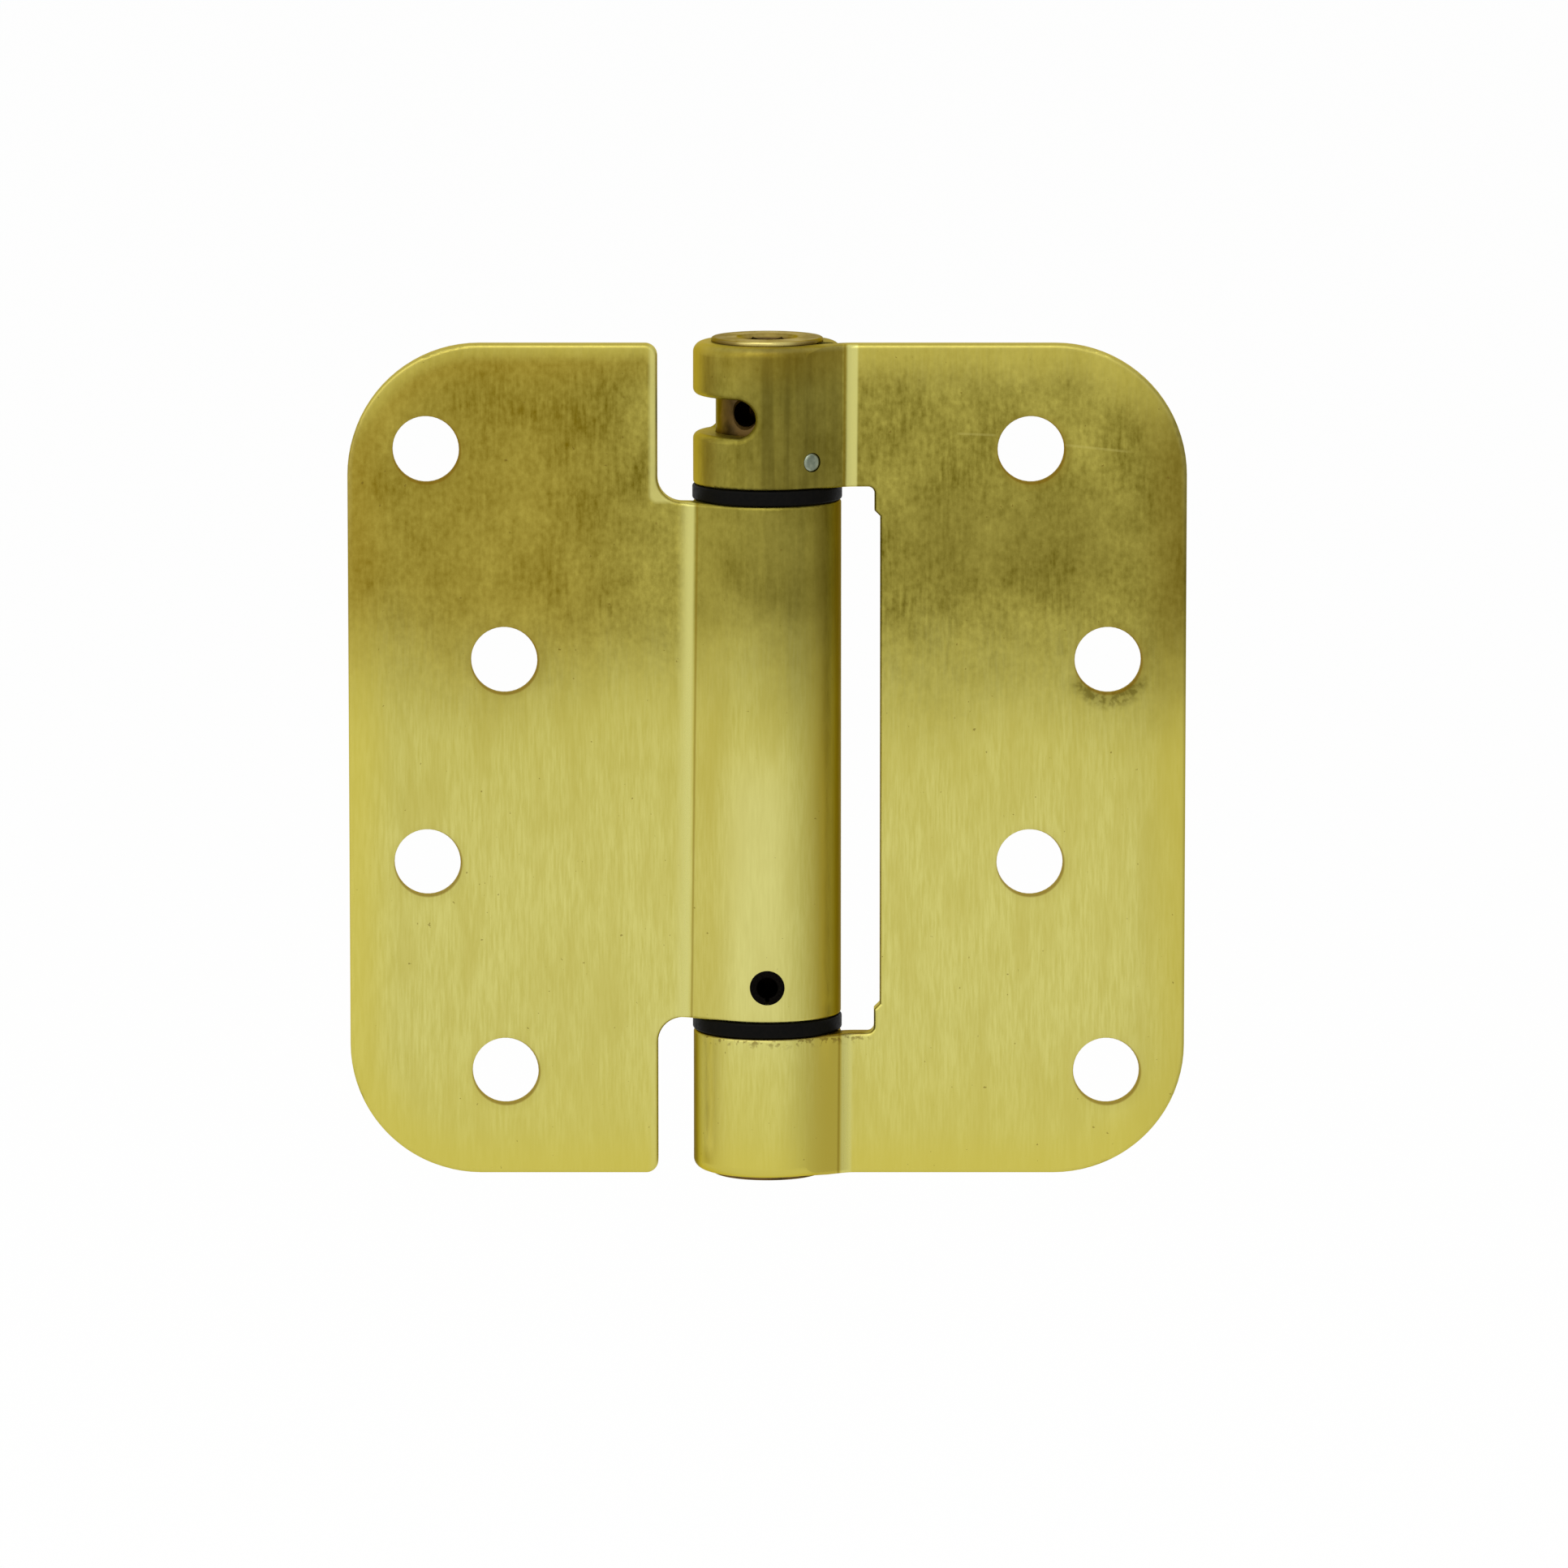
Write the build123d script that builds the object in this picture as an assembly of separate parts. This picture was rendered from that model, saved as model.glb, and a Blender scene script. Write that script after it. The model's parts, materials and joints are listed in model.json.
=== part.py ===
"""Self-closing hinge: two folded leaves, a wound spring in the long barrel, and its adjuster.

Millimetres. The pivot axis is Z, through the origin, at mid height. The mounting faces of both
leaves look along -Y, so the leaf that goes to the door lies at -X and the one that goes to the
frame at +X. The door leaf closes by swinging through +Y.
"""

from build123d import *
import os
from math import acos, atan2, cos, degrees, hypot, pi, radians, sin, tan

os.makedirs("parts", exist_ok=True)

# Leaves: each is one folded sheet, plate and knuckles together.
leaf_height = 101.6
leaf_reach = 50.8
leaf_thickness = 2.7
corner_radius = 15.9
closed_gap = 3.4
edge_radius = 0.45
exposed_edge_radius = 0.25

# Barrel and knuckles: the sheet rises off the plate at the crease and rolls round the axis.
barrel_diameter = 18.0
crease_gap = 1.0
crease_radius = 2.6
seam_gap = 0.3
knuckle_length = 17.3
bearing_space = 1.9
knuckle_end_radius = 1.3

# Door leaf: notches that clear the knuckles.
notch_gap = 4.3
notch_floor_radius = 3.0
notch_mouth_radius = 1.5

# Frame leaf: window that clears the barrel, a little narrower beside the bearings.
window_gap = 4.7
window_shoulder = 0.7
window_shoulder_drop = 2.9
window_corner_radius = 0.8

# Screw holes: two staggered columns of two, countersunk from the exposed face.
hole_diameter = 8.04
countersink_diameter = 11.0
countersink_angle = 82.0
hole_inset_outer = 9.5
hole_inset_inner = 18.9
hole_row_inset = 12.7
hole_row_spacing = 25.7

# Slot for the tension pin, through the left wall of the top knuckle.
slot_height = 4.56
slot_drop = 8.7
slot_start_angle = 26.0
slot_end_angle = 123.5
slot_edge_radius = 0.8

# Adjusting plug in the top knuckle.
running_clearance = 0.05
end_play = 0.05
head_overlap = 0.5
head_height = 0.5
head_round = 0.3
socket_across_flats = 6.0
socket_depth = 6.0
socket_mouth_chamfer = 0.35
tension_hole_diameter = 3.2
tension_hole_chamfer = 0.35
tension_hole_drop = 8.3
journal_length = 12.5

# Retaining pin through the top knuckle wall, into a groove of the plug.
retaining_pin_diameter = 2.3
retaining_pin_drop = 14.0
retaining_pin_angle = 37.0
retaining_pin_proud = 0.12
retaining_pin_crown = 0.35
groove_width = 2.4
groove_depth = 1.6
pin_seat_clearance = 0.02

# Flanged bearings at the two ends of the barrel.
flange_proud = 0.1
sleeve_length = 10.0
sleeve_wall = 0.8

# Closing spring.
wire_diameter = 2.0
coil_clearance = 0.5
coil_pitch = 2.3
tang_bend_radius = 1.6
tang_depth = 4.0
tang_clearance = 0.1

# Anchor plug, fixed in the foot of the barrel by a rolled pin.
anchor_length = 10.0
anchor_pin_diameter = 4.2
anchor_pin_bore = 2.6
anchor_pin_slit = 0.5
anchor_pin_past_axis = 2.5
anchor_pin_inset = 4.4
spigot_length = 12.5

# Cap in the foot of the bottom knuckle.
cap_shank_length = 4.0
cap_socket_diameter = 3.0
cap_socket_depth = 1.5

# Worked out from the sizes above.
half_height = leaf_height / 2
outer_radius = barrel_diameter / 2
bore_radius = outer_radius - leaf_thickness
crease_reach = outer_radius + crease_gap
notch_reach = outer_radius + notch_gap
window_reach = outer_radius + window_gap
hole_row_outer = half_height - hole_row_inset
hole_row_inner = hole_row_outer - hole_row_spacing
exposed_y = -closed_gap / 2
mounting_y = exposed_y - leaf_thickness
knuckle_foot = half_height - knuckle_length
barrel_end = knuckle_foot - bearing_space
window_shoulder_height = knuckle_foot - window_shoulder_drop
slot_rise = half_height - slot_drop
tension_hole_rise = half_height - tension_hole_drop
retaining_pin_rise = half_height - retaining_pin_drop
anchor_pin_rise = anchor_pin_inset - barrel_end
crease_distance = hypot(crease_reach, mounting_y)
lift_angle = degrees(atan2(mounting_y, crease_reach) - acos(outer_radius / crease_distance))
tip_angle = lift_angle + degrees(acos((bore_radius - seam_gap) / outer_radius)) - 360
fold_angle = 90 + lift_angle
plug_radius = bore_radius - running_clearance
head_radius = bore_radius + head_overlap
flange_radius = outer_radius + flange_proud
sleeve_radius = bore_radius - running_clearance
sleeve_bore = sleeve_radius - sleeve_wall
journal_radius = sleeve_bore - running_clearance
coil_mean_radius = journal_radius - coil_clearance - wire_diameter / 2
FRONT = -90


def polar(radius, angle, z=0.0):
    """The point at a radius and an angle round the pivot axis."""
    return Vector(radius * cos(radians(angle)), radius * sin(radians(angle)), z)


def radial_plane(angle, z, radius=0.0):
    """A plane whose normal points out from the axis at an angle, at a height."""
    outward = polar(1, angle)
    return Plane(origin=outward * radius + Vector(0, 0, z), x_dir=(0, 0, 1), z_dir=outward)


def radial_rod(angle, z, radius, inner, outer):
    """A cylinder that points out from the axis, from one distance to another."""
    return extrude(radial_plane(angle, z, inner) * Circle(radius), amount=outer - inner)


def turned(points):
    """A solid turned about Z from a closed outline of (radius, height) points."""
    outline = make_face(Plane.XZ * Polyline(*points, close=True))
    return revolve(outline, axis=Axis.Z, revolution_arc=360)


def sheet_section():
    """The folded sheet seen along the axis: plate, crease, lift and curl.

    The lift leaves the plate at the crease and is tangent to the curl. The curl runs round the
    front of the axis and ends a seam short of its own lift.
    """
    lift_x, lift_y = cos(radians(lift_angle)), sin(radians(lift_angle))
    exposed_corner = ((bore_radius - lift_y * exposed_y) / lift_x, exposed_y)
    middle = (lift_angle + tip_angle) / 2
    boundary = [
        Line((leaf_reach, exposed_y), (leaf_reach, mounting_y)),
        Line((leaf_reach, mounting_y), (crease_reach, mounting_y)),
        Line((crease_reach, mounting_y), polar(outer_radius, lift_angle)),
        ThreePointArc(
            polar(outer_radius, lift_angle),
            polar(outer_radius, middle),
            polar(outer_radius, tip_angle),
        ),
        Line(polar(outer_radius, tip_angle), polar(bore_radius, tip_angle)),
        ThreePointArc(
            polar(bore_radius, tip_angle),
            polar(bore_radius, middle),
            polar(bore_radius, lift_angle),
        ),
        Line(polar(bore_radius, lift_angle), exposed_corner),
        Line(exposed_corner, (leaf_reach, exposed_y)),
    ]
    section = make_face(Wire(boundary))
    near = section.vertices().sort_by_distance((crease_reach, mounting_y))[0]
    section = fillet(near, crease_radius)
    far = section.vertices().sort_by_distance(exposed_corner)[0]
    return fillet(far, crease_radius + leaf_thickness)


def end_section(radius, margin):
    """The sliver that rounding an outer edge removes, as (outward, upward) from that edge."""
    middle = -radius * (1 - cos(pi / 4))
    corner = [
        Line((-radius, margin), (margin, margin)),
        Line((margin, margin), (margin, -radius)),
        Line((margin, -radius), (0, -radius)),
        ThreePointArc((0, -radius), (middle, middle), (-radius, 0)),
        Line((-radius, 0), (-radius, margin)),
    ]
    return make_face(Wire(corner))


def end_rounding(z, upward, radius):
    """What is taken off the outer edge of the curl and its lift at one end of a knuckle.

    Round the curl the section is turned about the axis. Along the lift it is carried straight
    and drawn away from the sheet, so that the rounding fades before the plate.
    """
    margin = seam_gap / 2
    out = polar(1, lift_angle)
    side = out.cross(Vector(0, 0, upward))
    plane = Plane(origin=polar(outer_radius, lift_angle, z), x_dir=out, z_dir=side)
    section = plane * end_section(radius, margin)
    curl = revolve(section, axis=Axis.Z, revolution_arc=tip_angle - lift_angle)
    crease_run = crease_radius * tan(radians(fold_angle / 2))
    lift_length = (crease_distance**2 - outer_radius**2) ** 0.5 - crease_run
    along = polar(1, lift_angle + 90)
    lift = extrude(section, amount=lift_length, dir=along * lift_length + out * radius)
    return curl, lift


def screw_hole(x, z):
    """A through hole with its countersink on the exposed face."""
    through = Plane.XZ.offset(-leaf_reach) * Pos(x, z) * Circle(hole_diameter / 2)
    cone_depth = (countersink_diameter - hole_diameter) / 2 / tan(radians(countersink_angle / 2))
    cone = Cone(hole_diameter / 2, countersink_diameter / 2, cone_depth)
    sunk = Pos(x, exposed_y - cone_depth / 2, z) * Rot(-90, 0, 0) * cone
    return [extrude(through, amount=2 * leaf_reach), sunk]


def blank(hole_places):
    """The folded sheet at full height, with its round corners and screw holes."""
    sheet = extrude(Pos(0, 0, -half_height) * sheet_section(), amount=leaf_height)
    corners = sheet.edges().filter_by(Axis.Y).group_by(Axis.X)[-1]
    sheet = fillet(corners, corner_radius)
    for x, z in hole_places:
        sheet = sheet - screw_hole(x, z)
    return sheet


def through_window(outline, fillets):
    """A cutter along Y from an outline of (x, z) points; fillets pairs points with radii."""
    face = make_face(Polyline(*outline, close=True))
    for point, radius in fillets:
        face = fillet(face.vertices().sort_by_distance(point)[0], radius)
    cutter = extrude(Plane.XZ.offset(-barrel_diameter) * face, amount=2 * barrel_diameter)
    return cutter


def soften_rim(leaf, y, radius):
    """Round the outline of the plate's face at y, screw holes apart.

    Along the top and foot the rounding follows the sheet from the plate round the curl.
    """
    rim = [
        edge
        for edge in leaf.edges()
        if edge.bounding_box().size.Y < edge_radius / 100
        and abs(edge.center().Y - y) < edge_radius / 100
        and edge.bounding_box().max.X > crease_reach + crease_radius
        and not edge.is_closed
    ]
    return fillet(rim, radius)


def soften_leaf(leaf):
    """Round the rim of both faces."""
    leaf = soften_rim(leaf, mounting_y, edge_radius)
    return soften_rim(leaf, exposed_y, exposed_edge_radius)


def hole_place(inset, z):
    """Where a screw hole lies on the plate, from its inset off the long edge and its height."""
    return leaf_reach - inset, z


def make_frame_leaf():
    """The leaf with the two knuckles; the window between them takes the other leaf's barrel."""
    leaf = blank(
        [
            hole_place(hole_inset_inner, hole_row_outer),
            hole_place(hole_inset_outer, hole_row_inner),
            hole_place(hole_inset_inner, -hole_row_inner),
            hole_place(hole_inset_outer, -hole_row_outer),
        ]
    )
    shoulder_reach = window_reach - window_shoulder
    left = -outer_radius - leaf_thickness
    half_outline = [
        (window_reach, window_shoulder_height - window_shoulder),
        (shoulder_reach, window_shoulder_height),
        (shoulder_reach, knuckle_foot),
        (left, knuckle_foot),
    ]
    outline = half_outline + [(x, -z) for x, z in reversed(half_outline)]
    corners = [Vector(shoulder_reach, side * knuckle_foot) for side in (1, -1)]
    leaf = leaf - through_window(outline, [(corner, window_corner_radius) for corner in corners])
    leaf = soften_leaf(leaf)
    for side in (1, -1):
        leaf = leaf - end_rounding(side * half_height, side, knuckle_end_radius)
    leaf = soften_slot(leaf - tension_slot())
    pin_angle = FRONT + retaining_pin_angle
    pin_seat = retaining_pin_diameter / 2 + pin_seat_clearance
    inside = plug_radius / 2
    return leaf - radial_rod(pin_angle, retaining_pin_rise, pin_seat, inside, 2 * outer_radius)


def tension_slot():
    """The round-ended slot that the tension pin travels in, cut through the wall only."""
    inner = bore_radius / 2
    outer = outer_radius + leaf_thickness
    start = FRONT - slot_start_angle
    end = FRONT - slot_end_angle
    middle = polar((inner + outer) / 2, start, slot_rise)
    section = Plane(origin=middle, x_dir=polar(1, start), z_dir=polar(1, start + 90))
    outline = section * Rectangle(outer - inner, slot_height)
    band = revolve(outline, axis=Axis.Z, revolution_arc=end - start)
    ends = [radial_rod(angle, slot_rise, slot_height / 2, inner, outer) for angle in (start, end)]
    return [band, *ends]


def soften_slot(leaf):
    """Round the slot's mouth, where the punch has drawn the outer face of the sheet in."""
    mouth = [
        edge
        for edge in leaf.edges()
        if abs(edge.center().Z - slot_rise) < slot_height / 2 + edge_radius
        and edge.center().X < 0
        and all(abs(hypot(point.X, point.Y) - outer_radius) < edge_radius / 100
                for point in (edge @ 0, edge @ 0.5, edge @ 1))
    ]
    return fillet(mouth, slot_edge_radius)


def make_door_leaf():
    """The leaf with the long barrel, notched at both ends to clear the knuckles."""
    leaf = blank(
        [
            hole_place(hole_inset_outer, hole_row_outer),
            hole_place(hole_inset_inner, hole_row_inner),
            hole_place(hole_inset_outer, -hole_row_inner),
            hole_place(hole_inset_inner, -hole_row_outer),
        ]
    )
    left = -outer_radius - leaf_thickness
    mid_sheet = (exposed_y + mounting_y) / 2
    for side in (1, -1):
        floor = side * barrel_end
        past = side * (half_height + leaf_thickness)
        outline = [(left, floor), (notch_reach, floor), (notch_reach, past), (left, past)]
        leaf = leaf - through_window(outline, [(Vector(notch_reach, floor), notch_floor_radius)])
        mouth = (notch_reach, mid_sheet, side * half_height)
        nearest = leaf.edges().filter_by(Axis.Y).sort_by_distance(mouth)[0]
        leaf = fillet(nearest, notch_mouth_radius)
    leaf = mirror(soften_leaf(leaf), about=Plane.YZ)
    seat = anchor_pin_diameter / 2 + pin_seat_clearance
    return leaf - radial_rod(FRONT, anchor_pin_rise, seat, bore_radius / 2, 2 * outer_radius)


def make_adjusting_plug():
    """Domed head, body with four tension holes, groove, journal, and the spring's upper seat."""
    head_foot = half_height + end_play
    head_top = head_foot + head_height
    groove_radius = plug_radius - groove_depth
    groove_low = retaining_pin_rise - groove_width / 2
    groove_high = retaining_pin_rise + groove_width / 2
    body_foot = knuckle_foot + end_play
    journal_foot = body_foot - journal_length
    body = turned(
        [
            (0, head_top),
            (head_radius, head_top),
            (head_radius, head_foot),
            (plug_radius, head_foot),
            (plug_radius, groove_high),
            (groove_radius, groove_high),
            (groove_radius, groove_low),
            (plug_radius, groove_low),
            (plug_radius, body_foot),
            (journal_radius, body_foot),
            (journal_radius, journal_foot),
            (0, journal_foot),
        ]
    )
    rim = body.edges().filter_by(GeomType.CIRCLE).group_by(Axis.Z)[-1]
    body = fillet(rim, head_round)
    socket_radius = socket_across_flats / 2 / cos(pi / 6)
    socket = Pos(0, 0, head_top - socket_depth) * RegularPolygon(socket_radius, 6)
    mouth_radius = socket_radius + socket_mouth_chamfer
    mouth = Cone(mouth_radius - 2 * socket_mouth_chamfer, mouth_radius, 2 * socket_mouth_chamfer)
    body = body - extrude(socket, amount=socket_depth)
    body = body - Pos(0, 0, head_top - socket_mouth_chamfer) * mouth
    hole_radius = tension_hole_diameter / 2
    for quarter in range(4):
        angle = FRONT - slot_start_angle + 90 * quarter
        hole = radial_rod(angle, tension_hole_rise, hole_radius, 0, 2 * plug_radius)
        flare = Cone(hole_radius, hole_radius + 2 * tension_hole_chamfer, 2 * tension_hole_chamfer)
        body = body - hole - radial_plane(angle, tension_hole_rise, plug_radius) * flare
    return body - tang_seat(upper=True)


def make_bearing(upper):
    """A flange between two knuckle ends and a sleeve, the upper in the barrel's mouth."""
    top = bearing_space - 2 * end_play
    bearing = turned(
        [
            (sleeve_bore, 0),
            (flange_radius, 0),
            (flange_radius, -top),
            (sleeve_radius, -top),
            (sleeve_radius, -top - sleeve_length),
            (sleeve_bore, -top - sleeve_length),
        ]
    )
    circles = bearing.edges().filter_by(GeomType.CIRCLE)
    bearing = fillet(circles.group_by(SortBy.RADIUS)[-1], head_round)
    flange_top = knuckle_foot - end_play if upper else -barrel_end - end_play
    return Pos(0, 0, flange_top) * bearing


def spring_ends():
    """Heights of the spring's lowest and highest coil centres."""
    low = -barrel_end + anchor_length + wire_diameter
    high = knuckle_foot + end_play - journal_length - wire_diameter
    return low, high


def tang_angles():
    """Angles round the axis at which the coil starts, below, and ends, above.

    The coil is wound left-handed, so that the closing load winds it tighter.
    """
    low, high = spring_ends()
    turns = (high - low) / coil_pitch
    return 0.0, -360 * turns


def tang_place(angle, forward):
    """Where a tang stands: past the coil's end by the reach of its bend."""
    slope = atan2(coil_pitch, 2 * pi * coil_mean_radius)
    reach = tang_bend_radius * (1 - sin(slope))
    return polar(coil_mean_radius, angle) + polar(1, angle - 90) * (reach * forward)


def tang_seat(upper):
    """The hole in a plug that takes the spring's tang."""
    low, high = spring_ends()
    bottom_angle, top_angle = tang_angles()
    radius = wire_diameter / 2 + tang_clearance
    depth = wire_diameter + tang_depth + tang_clearance
    if upper:
        place = tang_place(top_angle, 1)
        return Pos(place.X, place.Y, high + depth / 2) * Cylinder(radius, depth)
    place = tang_place(bottom_angle, -1)
    return Pos(place.X, place.Y, low - depth / 2) * Cylinder(radius, depth)


def make_closing_spring():
    """Round wire wound about the axis, each end bent along the axis into its plug."""
    low, high = spring_ends()
    bottom_angle, top_angle = tang_angles()
    slope = atan2(coil_pitch, 2 * pi * coil_mean_radius)
    coil = Helix(
        pitch=coil_pitch,
        height=high - low,
        radius=coil_mean_radius,
        center=(0, 0, low),
        lefthand=True,
    )

    def tang(angle, z, forward):
        """The bend and the straight tang beyond one end of the coil."""
        start = polar(coil_mean_radius, angle, z)
        ahead = polar(1, angle - 90) * forward
        rise = Vector(0, 0, forward)
        centre = start + (ahead * -sin(slope) + rise * cos(slope)) * tang_bend_radius
        bend_end = centre + ahead * tang_bend_radius
        half = (slope + pi / 2) / 2
        bend_middle = centre + (ahead * sin(half) - rise * cos(half)) * tang_bend_radius
        arc = ThreePointArc(start, bend_middle, bend_end)
        tip = Vector(bend_end.X, bend_end.Y, z + forward * (wire_diameter + tang_depth))
        return [arc, Line(bend_end, tip)]

    lower = tang(bottom_angle, low, -1)
    upper = tang(top_angle, high, 1)
    path = Wire([lower[1], lower[0], coil, upper[0], upper[1]])
    foot = lower[1] @ 1
    section = Plane(origin=foot, z_dir=(0, 0, 1)) * Circle(wire_diameter / 2)
    return sweep(section, path=path)


def make_anchor_plug():
    """Body pinned in the foot of the barrel, and the spigot that turns in the lower bearing."""
    body_radius = bore_radius - running_clearance
    foot = -barrel_end
    top = foot + anchor_length
    body = turned(
        [
            (0, top),
            (body_radius, top),
            (body_radius, foot),
            (journal_radius, foot),
            (journal_radius, foot - spigot_length),
            (0, foot - spigot_length),
        ]
    )
    seat = anchor_pin_diameter / 2 + pin_seat_clearance
    far_end = anchor_pin_past_axis + end_play
    body = body - radial_rod(FRONT, anchor_pin_rise, seat, -far_end, 2 * outer_radius)
    return body - tang_seat(upper=False)


def make_anchor_pin():
    """Rolled spring steel: a tube with a slit along one side."""
    radius = anchor_pin_diameter / 2
    inner = -anchor_pin_past_axis
    pin = radial_rod(FRONT, anchor_pin_rise, radius, inner, outer_radius)
    bore = radial_rod(FRONT, anchor_pin_rise, anchor_pin_bore / 2, inner - radius, outer_radius + radius)
    slit = Pos(0, 0, anchor_pin_rise - radius) * Box(anchor_pin_slit, 4 * outer_radius, 2 * radius)
    return pin - bore - slit


def make_retaining_pin():
    """Small pin from the groove of the plug out to a crowned end just proud of the wall."""
    angle = FRONT + retaining_pin_angle
    wall = outer_radius / cos(radians(max(0.0, angle - lift_angle)))
    inner = plug_radius - groove_depth + end_play
    radius = retaining_pin_diameter / 2
    pin = radial_rod(angle, retaining_pin_rise, radius, inner, wall + retaining_pin_proud)
    rims = pin.edges().filter_by(GeomType.CIRCLE)
    crown_edge = rims.sort_by_distance(polar(2 * outer_radius, angle, retaining_pin_rise))[0]
    return fillet(crown_edge, retaining_pin_crown)


def make_bottom_cap():
    """Plug that closes the foot of the bottom knuckle, with the same head as the adjuster."""
    radius = bore_radius - pin_seat_clearance
    foot = -half_height - head_height - end_play
    cap = turned(
        [
            (0, foot),
            (head_radius, foot),
            (head_radius, -half_height),
            (radius, -half_height),
            (radius, -half_height + cap_shank_length),
            (0, -half_height + cap_shank_length),
        ]
    )
    rim = cap.edges().filter_by(GeomType.CIRCLE).group_by(Axis.Z)[0]
    cap = fillet(rim, head_round)
    dimple = Pos(0, 0, foot + cap_socket_depth / 2) * Cylinder(cap_socket_diameter / 2, cap_socket_depth)
    return cap - dimple


pieces = {
    "door_leaf": make_door_leaf(),
    "frame_leaf": make_frame_leaf(),
    "adjusting_plug": make_adjusting_plug(),
    "plug_retaining_pin": make_retaining_pin(),
    "upper_bearing": make_bearing(upper=True),
    "lower_bearing": make_bearing(upper=False),
    "closing_spring": make_closing_spring(),
    "anchor_plug": make_anchor_plug(),
    "anchor_pin": make_anchor_pin(),
    "bottom_cap": make_bottom_cap(),
}

for name, piece in pieces.items():
    export_step(piece, f"parts/{name}.step")
    print(name, round(piece.volume, 1))
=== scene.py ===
# %% [markdown]
# # A self-closing hinge in satin brass plate
#
# The shapes come from the imported frame: two folded leaves, a wound spring in the long barrel and
# the plug that winds it. What is left to do here is the finish of each surface, the spring as a
# wire in two halves, and the light. The frame is loaded first, because every later step
# measures its patterns from it.

# %% Load the frame
import json
import math

import bpy
import numpy as np
from mathutils import Matrix, Vector


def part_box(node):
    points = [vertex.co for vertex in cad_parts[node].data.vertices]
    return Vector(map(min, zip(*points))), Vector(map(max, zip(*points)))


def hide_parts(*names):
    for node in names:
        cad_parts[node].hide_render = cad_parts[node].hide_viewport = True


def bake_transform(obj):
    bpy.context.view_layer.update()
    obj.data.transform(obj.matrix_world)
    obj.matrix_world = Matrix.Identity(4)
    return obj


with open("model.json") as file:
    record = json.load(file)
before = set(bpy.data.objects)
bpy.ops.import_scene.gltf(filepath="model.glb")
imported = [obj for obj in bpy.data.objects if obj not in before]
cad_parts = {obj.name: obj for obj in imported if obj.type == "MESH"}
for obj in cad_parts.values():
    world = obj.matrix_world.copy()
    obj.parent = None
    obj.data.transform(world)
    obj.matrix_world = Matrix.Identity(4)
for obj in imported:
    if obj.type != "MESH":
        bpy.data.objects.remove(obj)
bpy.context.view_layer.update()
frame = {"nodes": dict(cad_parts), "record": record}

MM = 0.001
nodes = frame["nodes"]
print("nodes:", ", ".join(sorted(nodes)))

# %% [markdown]
# The patterns below need a few places on the hinge: how far the leaves reach, how high they
# stand, how thick the barrel is, where the mounting face is and where the knuckles start. They
# are read from the frame's boxes and mounts and not typed again, so the finish stays on its
# edges when the model changes. What no box or mount says is typed in millimetres further down:
# the radius of the corners, the crease and the marks of wear.

# %% Places on the hinge
_, leaf_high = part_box("frame_leaf")
half_reach = leaf_high.x
half_height = leaf_high.z
barrel_radius = leaf_high.y
mounts = {mount["name"]: mount for mount in frame["record"]["mounts"]}
mounting_y = mounts["frame_leaf_back"]["pos_m"][1]
_, flange_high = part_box("upper_bearing")
knuckle_z = flange_high.z
places = (half_reach, half_height, barrel_radius, mounting_y, knuckle_z)
print("reach %.1f, height %.1f, barrel radius %.1f, mounting face at y %.1f, knuckle at z %.2f mm"
      % tuple(value / MM for value in places))


# %% Screw holes of the door leaf
def screw_holes():
    """Centres (x, 0, z): each pattern's middle, half a spacing up and half a spacing down."""
    centres = []
    for name in ("door_screws_outer", "door_screws_inner"):
        x, _, z = mounts[name]["pos_m"]
        half = mounts[name]["dims"]["spacing_y_mm"] / 2 * MM
        centres += [(x, 0.0, z + half), (x, 0.0, z - half)]
    return centres


hole_radius = mounts["door_screws_outer"]["dims"]["hole_r_mm"] * MM
print("holes at", [(round(x / MM, 1), round(z / MM, 1)) for x, _, z in screw_holes()])

# %% [markdown]
# Colours are written as sRGB hex values, as a picture shows them. Cycles works with linear
# light, so one function turns each hex value to linear: a share below 0.04045 is divided by
# 12.92, and any other is raised to the power 2.4 after an offset.


# %% Colour from hex
def linear(code):
    """sRGB hex to linear RGBA, by the two-part curve of the sRGB standard."""
    shares = np.array([int(code[i:i + 2], 16) for i in (1, 3, 5)]) / 255
    low, high = shares / 12.92, ((shares + 0.055) / 1.055) ** 2.4
    return (*np.where(shares <= 0.04045, low, high), 1.0)


print("pale brass in linear light:", np.round(linear("#C8C16A"), 3))

# %% [markdown]
# A material is a tree of nodes. One small function adds a node, sets what it is given and links
# what feeds it. Most masks end in a Map Range node with a smooth step, which turns a distance
# into a soft edge, so that setting has a short name.


# %% One function that adds a node
def add(tree, kind, feeds=(), **settings):
    """Add a node and feed its inputs.

    feeds holds values, outputs or nodes, in the order in which the node shows its inputs, or by
    the inputs' names. A node stands for the first output that it shows.
    """
    node = tree.nodes.new("ShaderNode" + kind)
    for name, value in settings.items():
        setattr(node, name, value)
    shown = [socket for socket in node.inputs if socket.enabled]
    if isinstance(feeds, dict):
        named = {socket.name: socket for socket in shown}
        pairs = [(named[name], value) for name, value in feeds.items()]
    else:
        pairs = zip(shown, feeds)
    for socket, value in pairs:
        if isinstance(value, bpy.types.Node):
            value = next(output for output in value.outputs if output.enabled)
        if isinstance(value, bpy.types.NodeSocket):
            tree.links.new(value, socket)
        else:
            socket.default_value = value
    return node


SMOOTH = {"interpolation_type": "SMOOTHSTEP"}


# %% Start and finish a material
def new_material(name):
    """A material with its shader, and the object's own coordinates to measure patterns in."""
    material = bpy.data.materials.new(name)
    material.use_nodes = True
    tree = material.node_tree
    tree.nodes.clear()
    shader = add(tree, "BsdfPrincipled")
    place = add(tree, "TexCoord").outputs["Object"]
    print("material", name)
    return material, tree, shader, place


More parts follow.
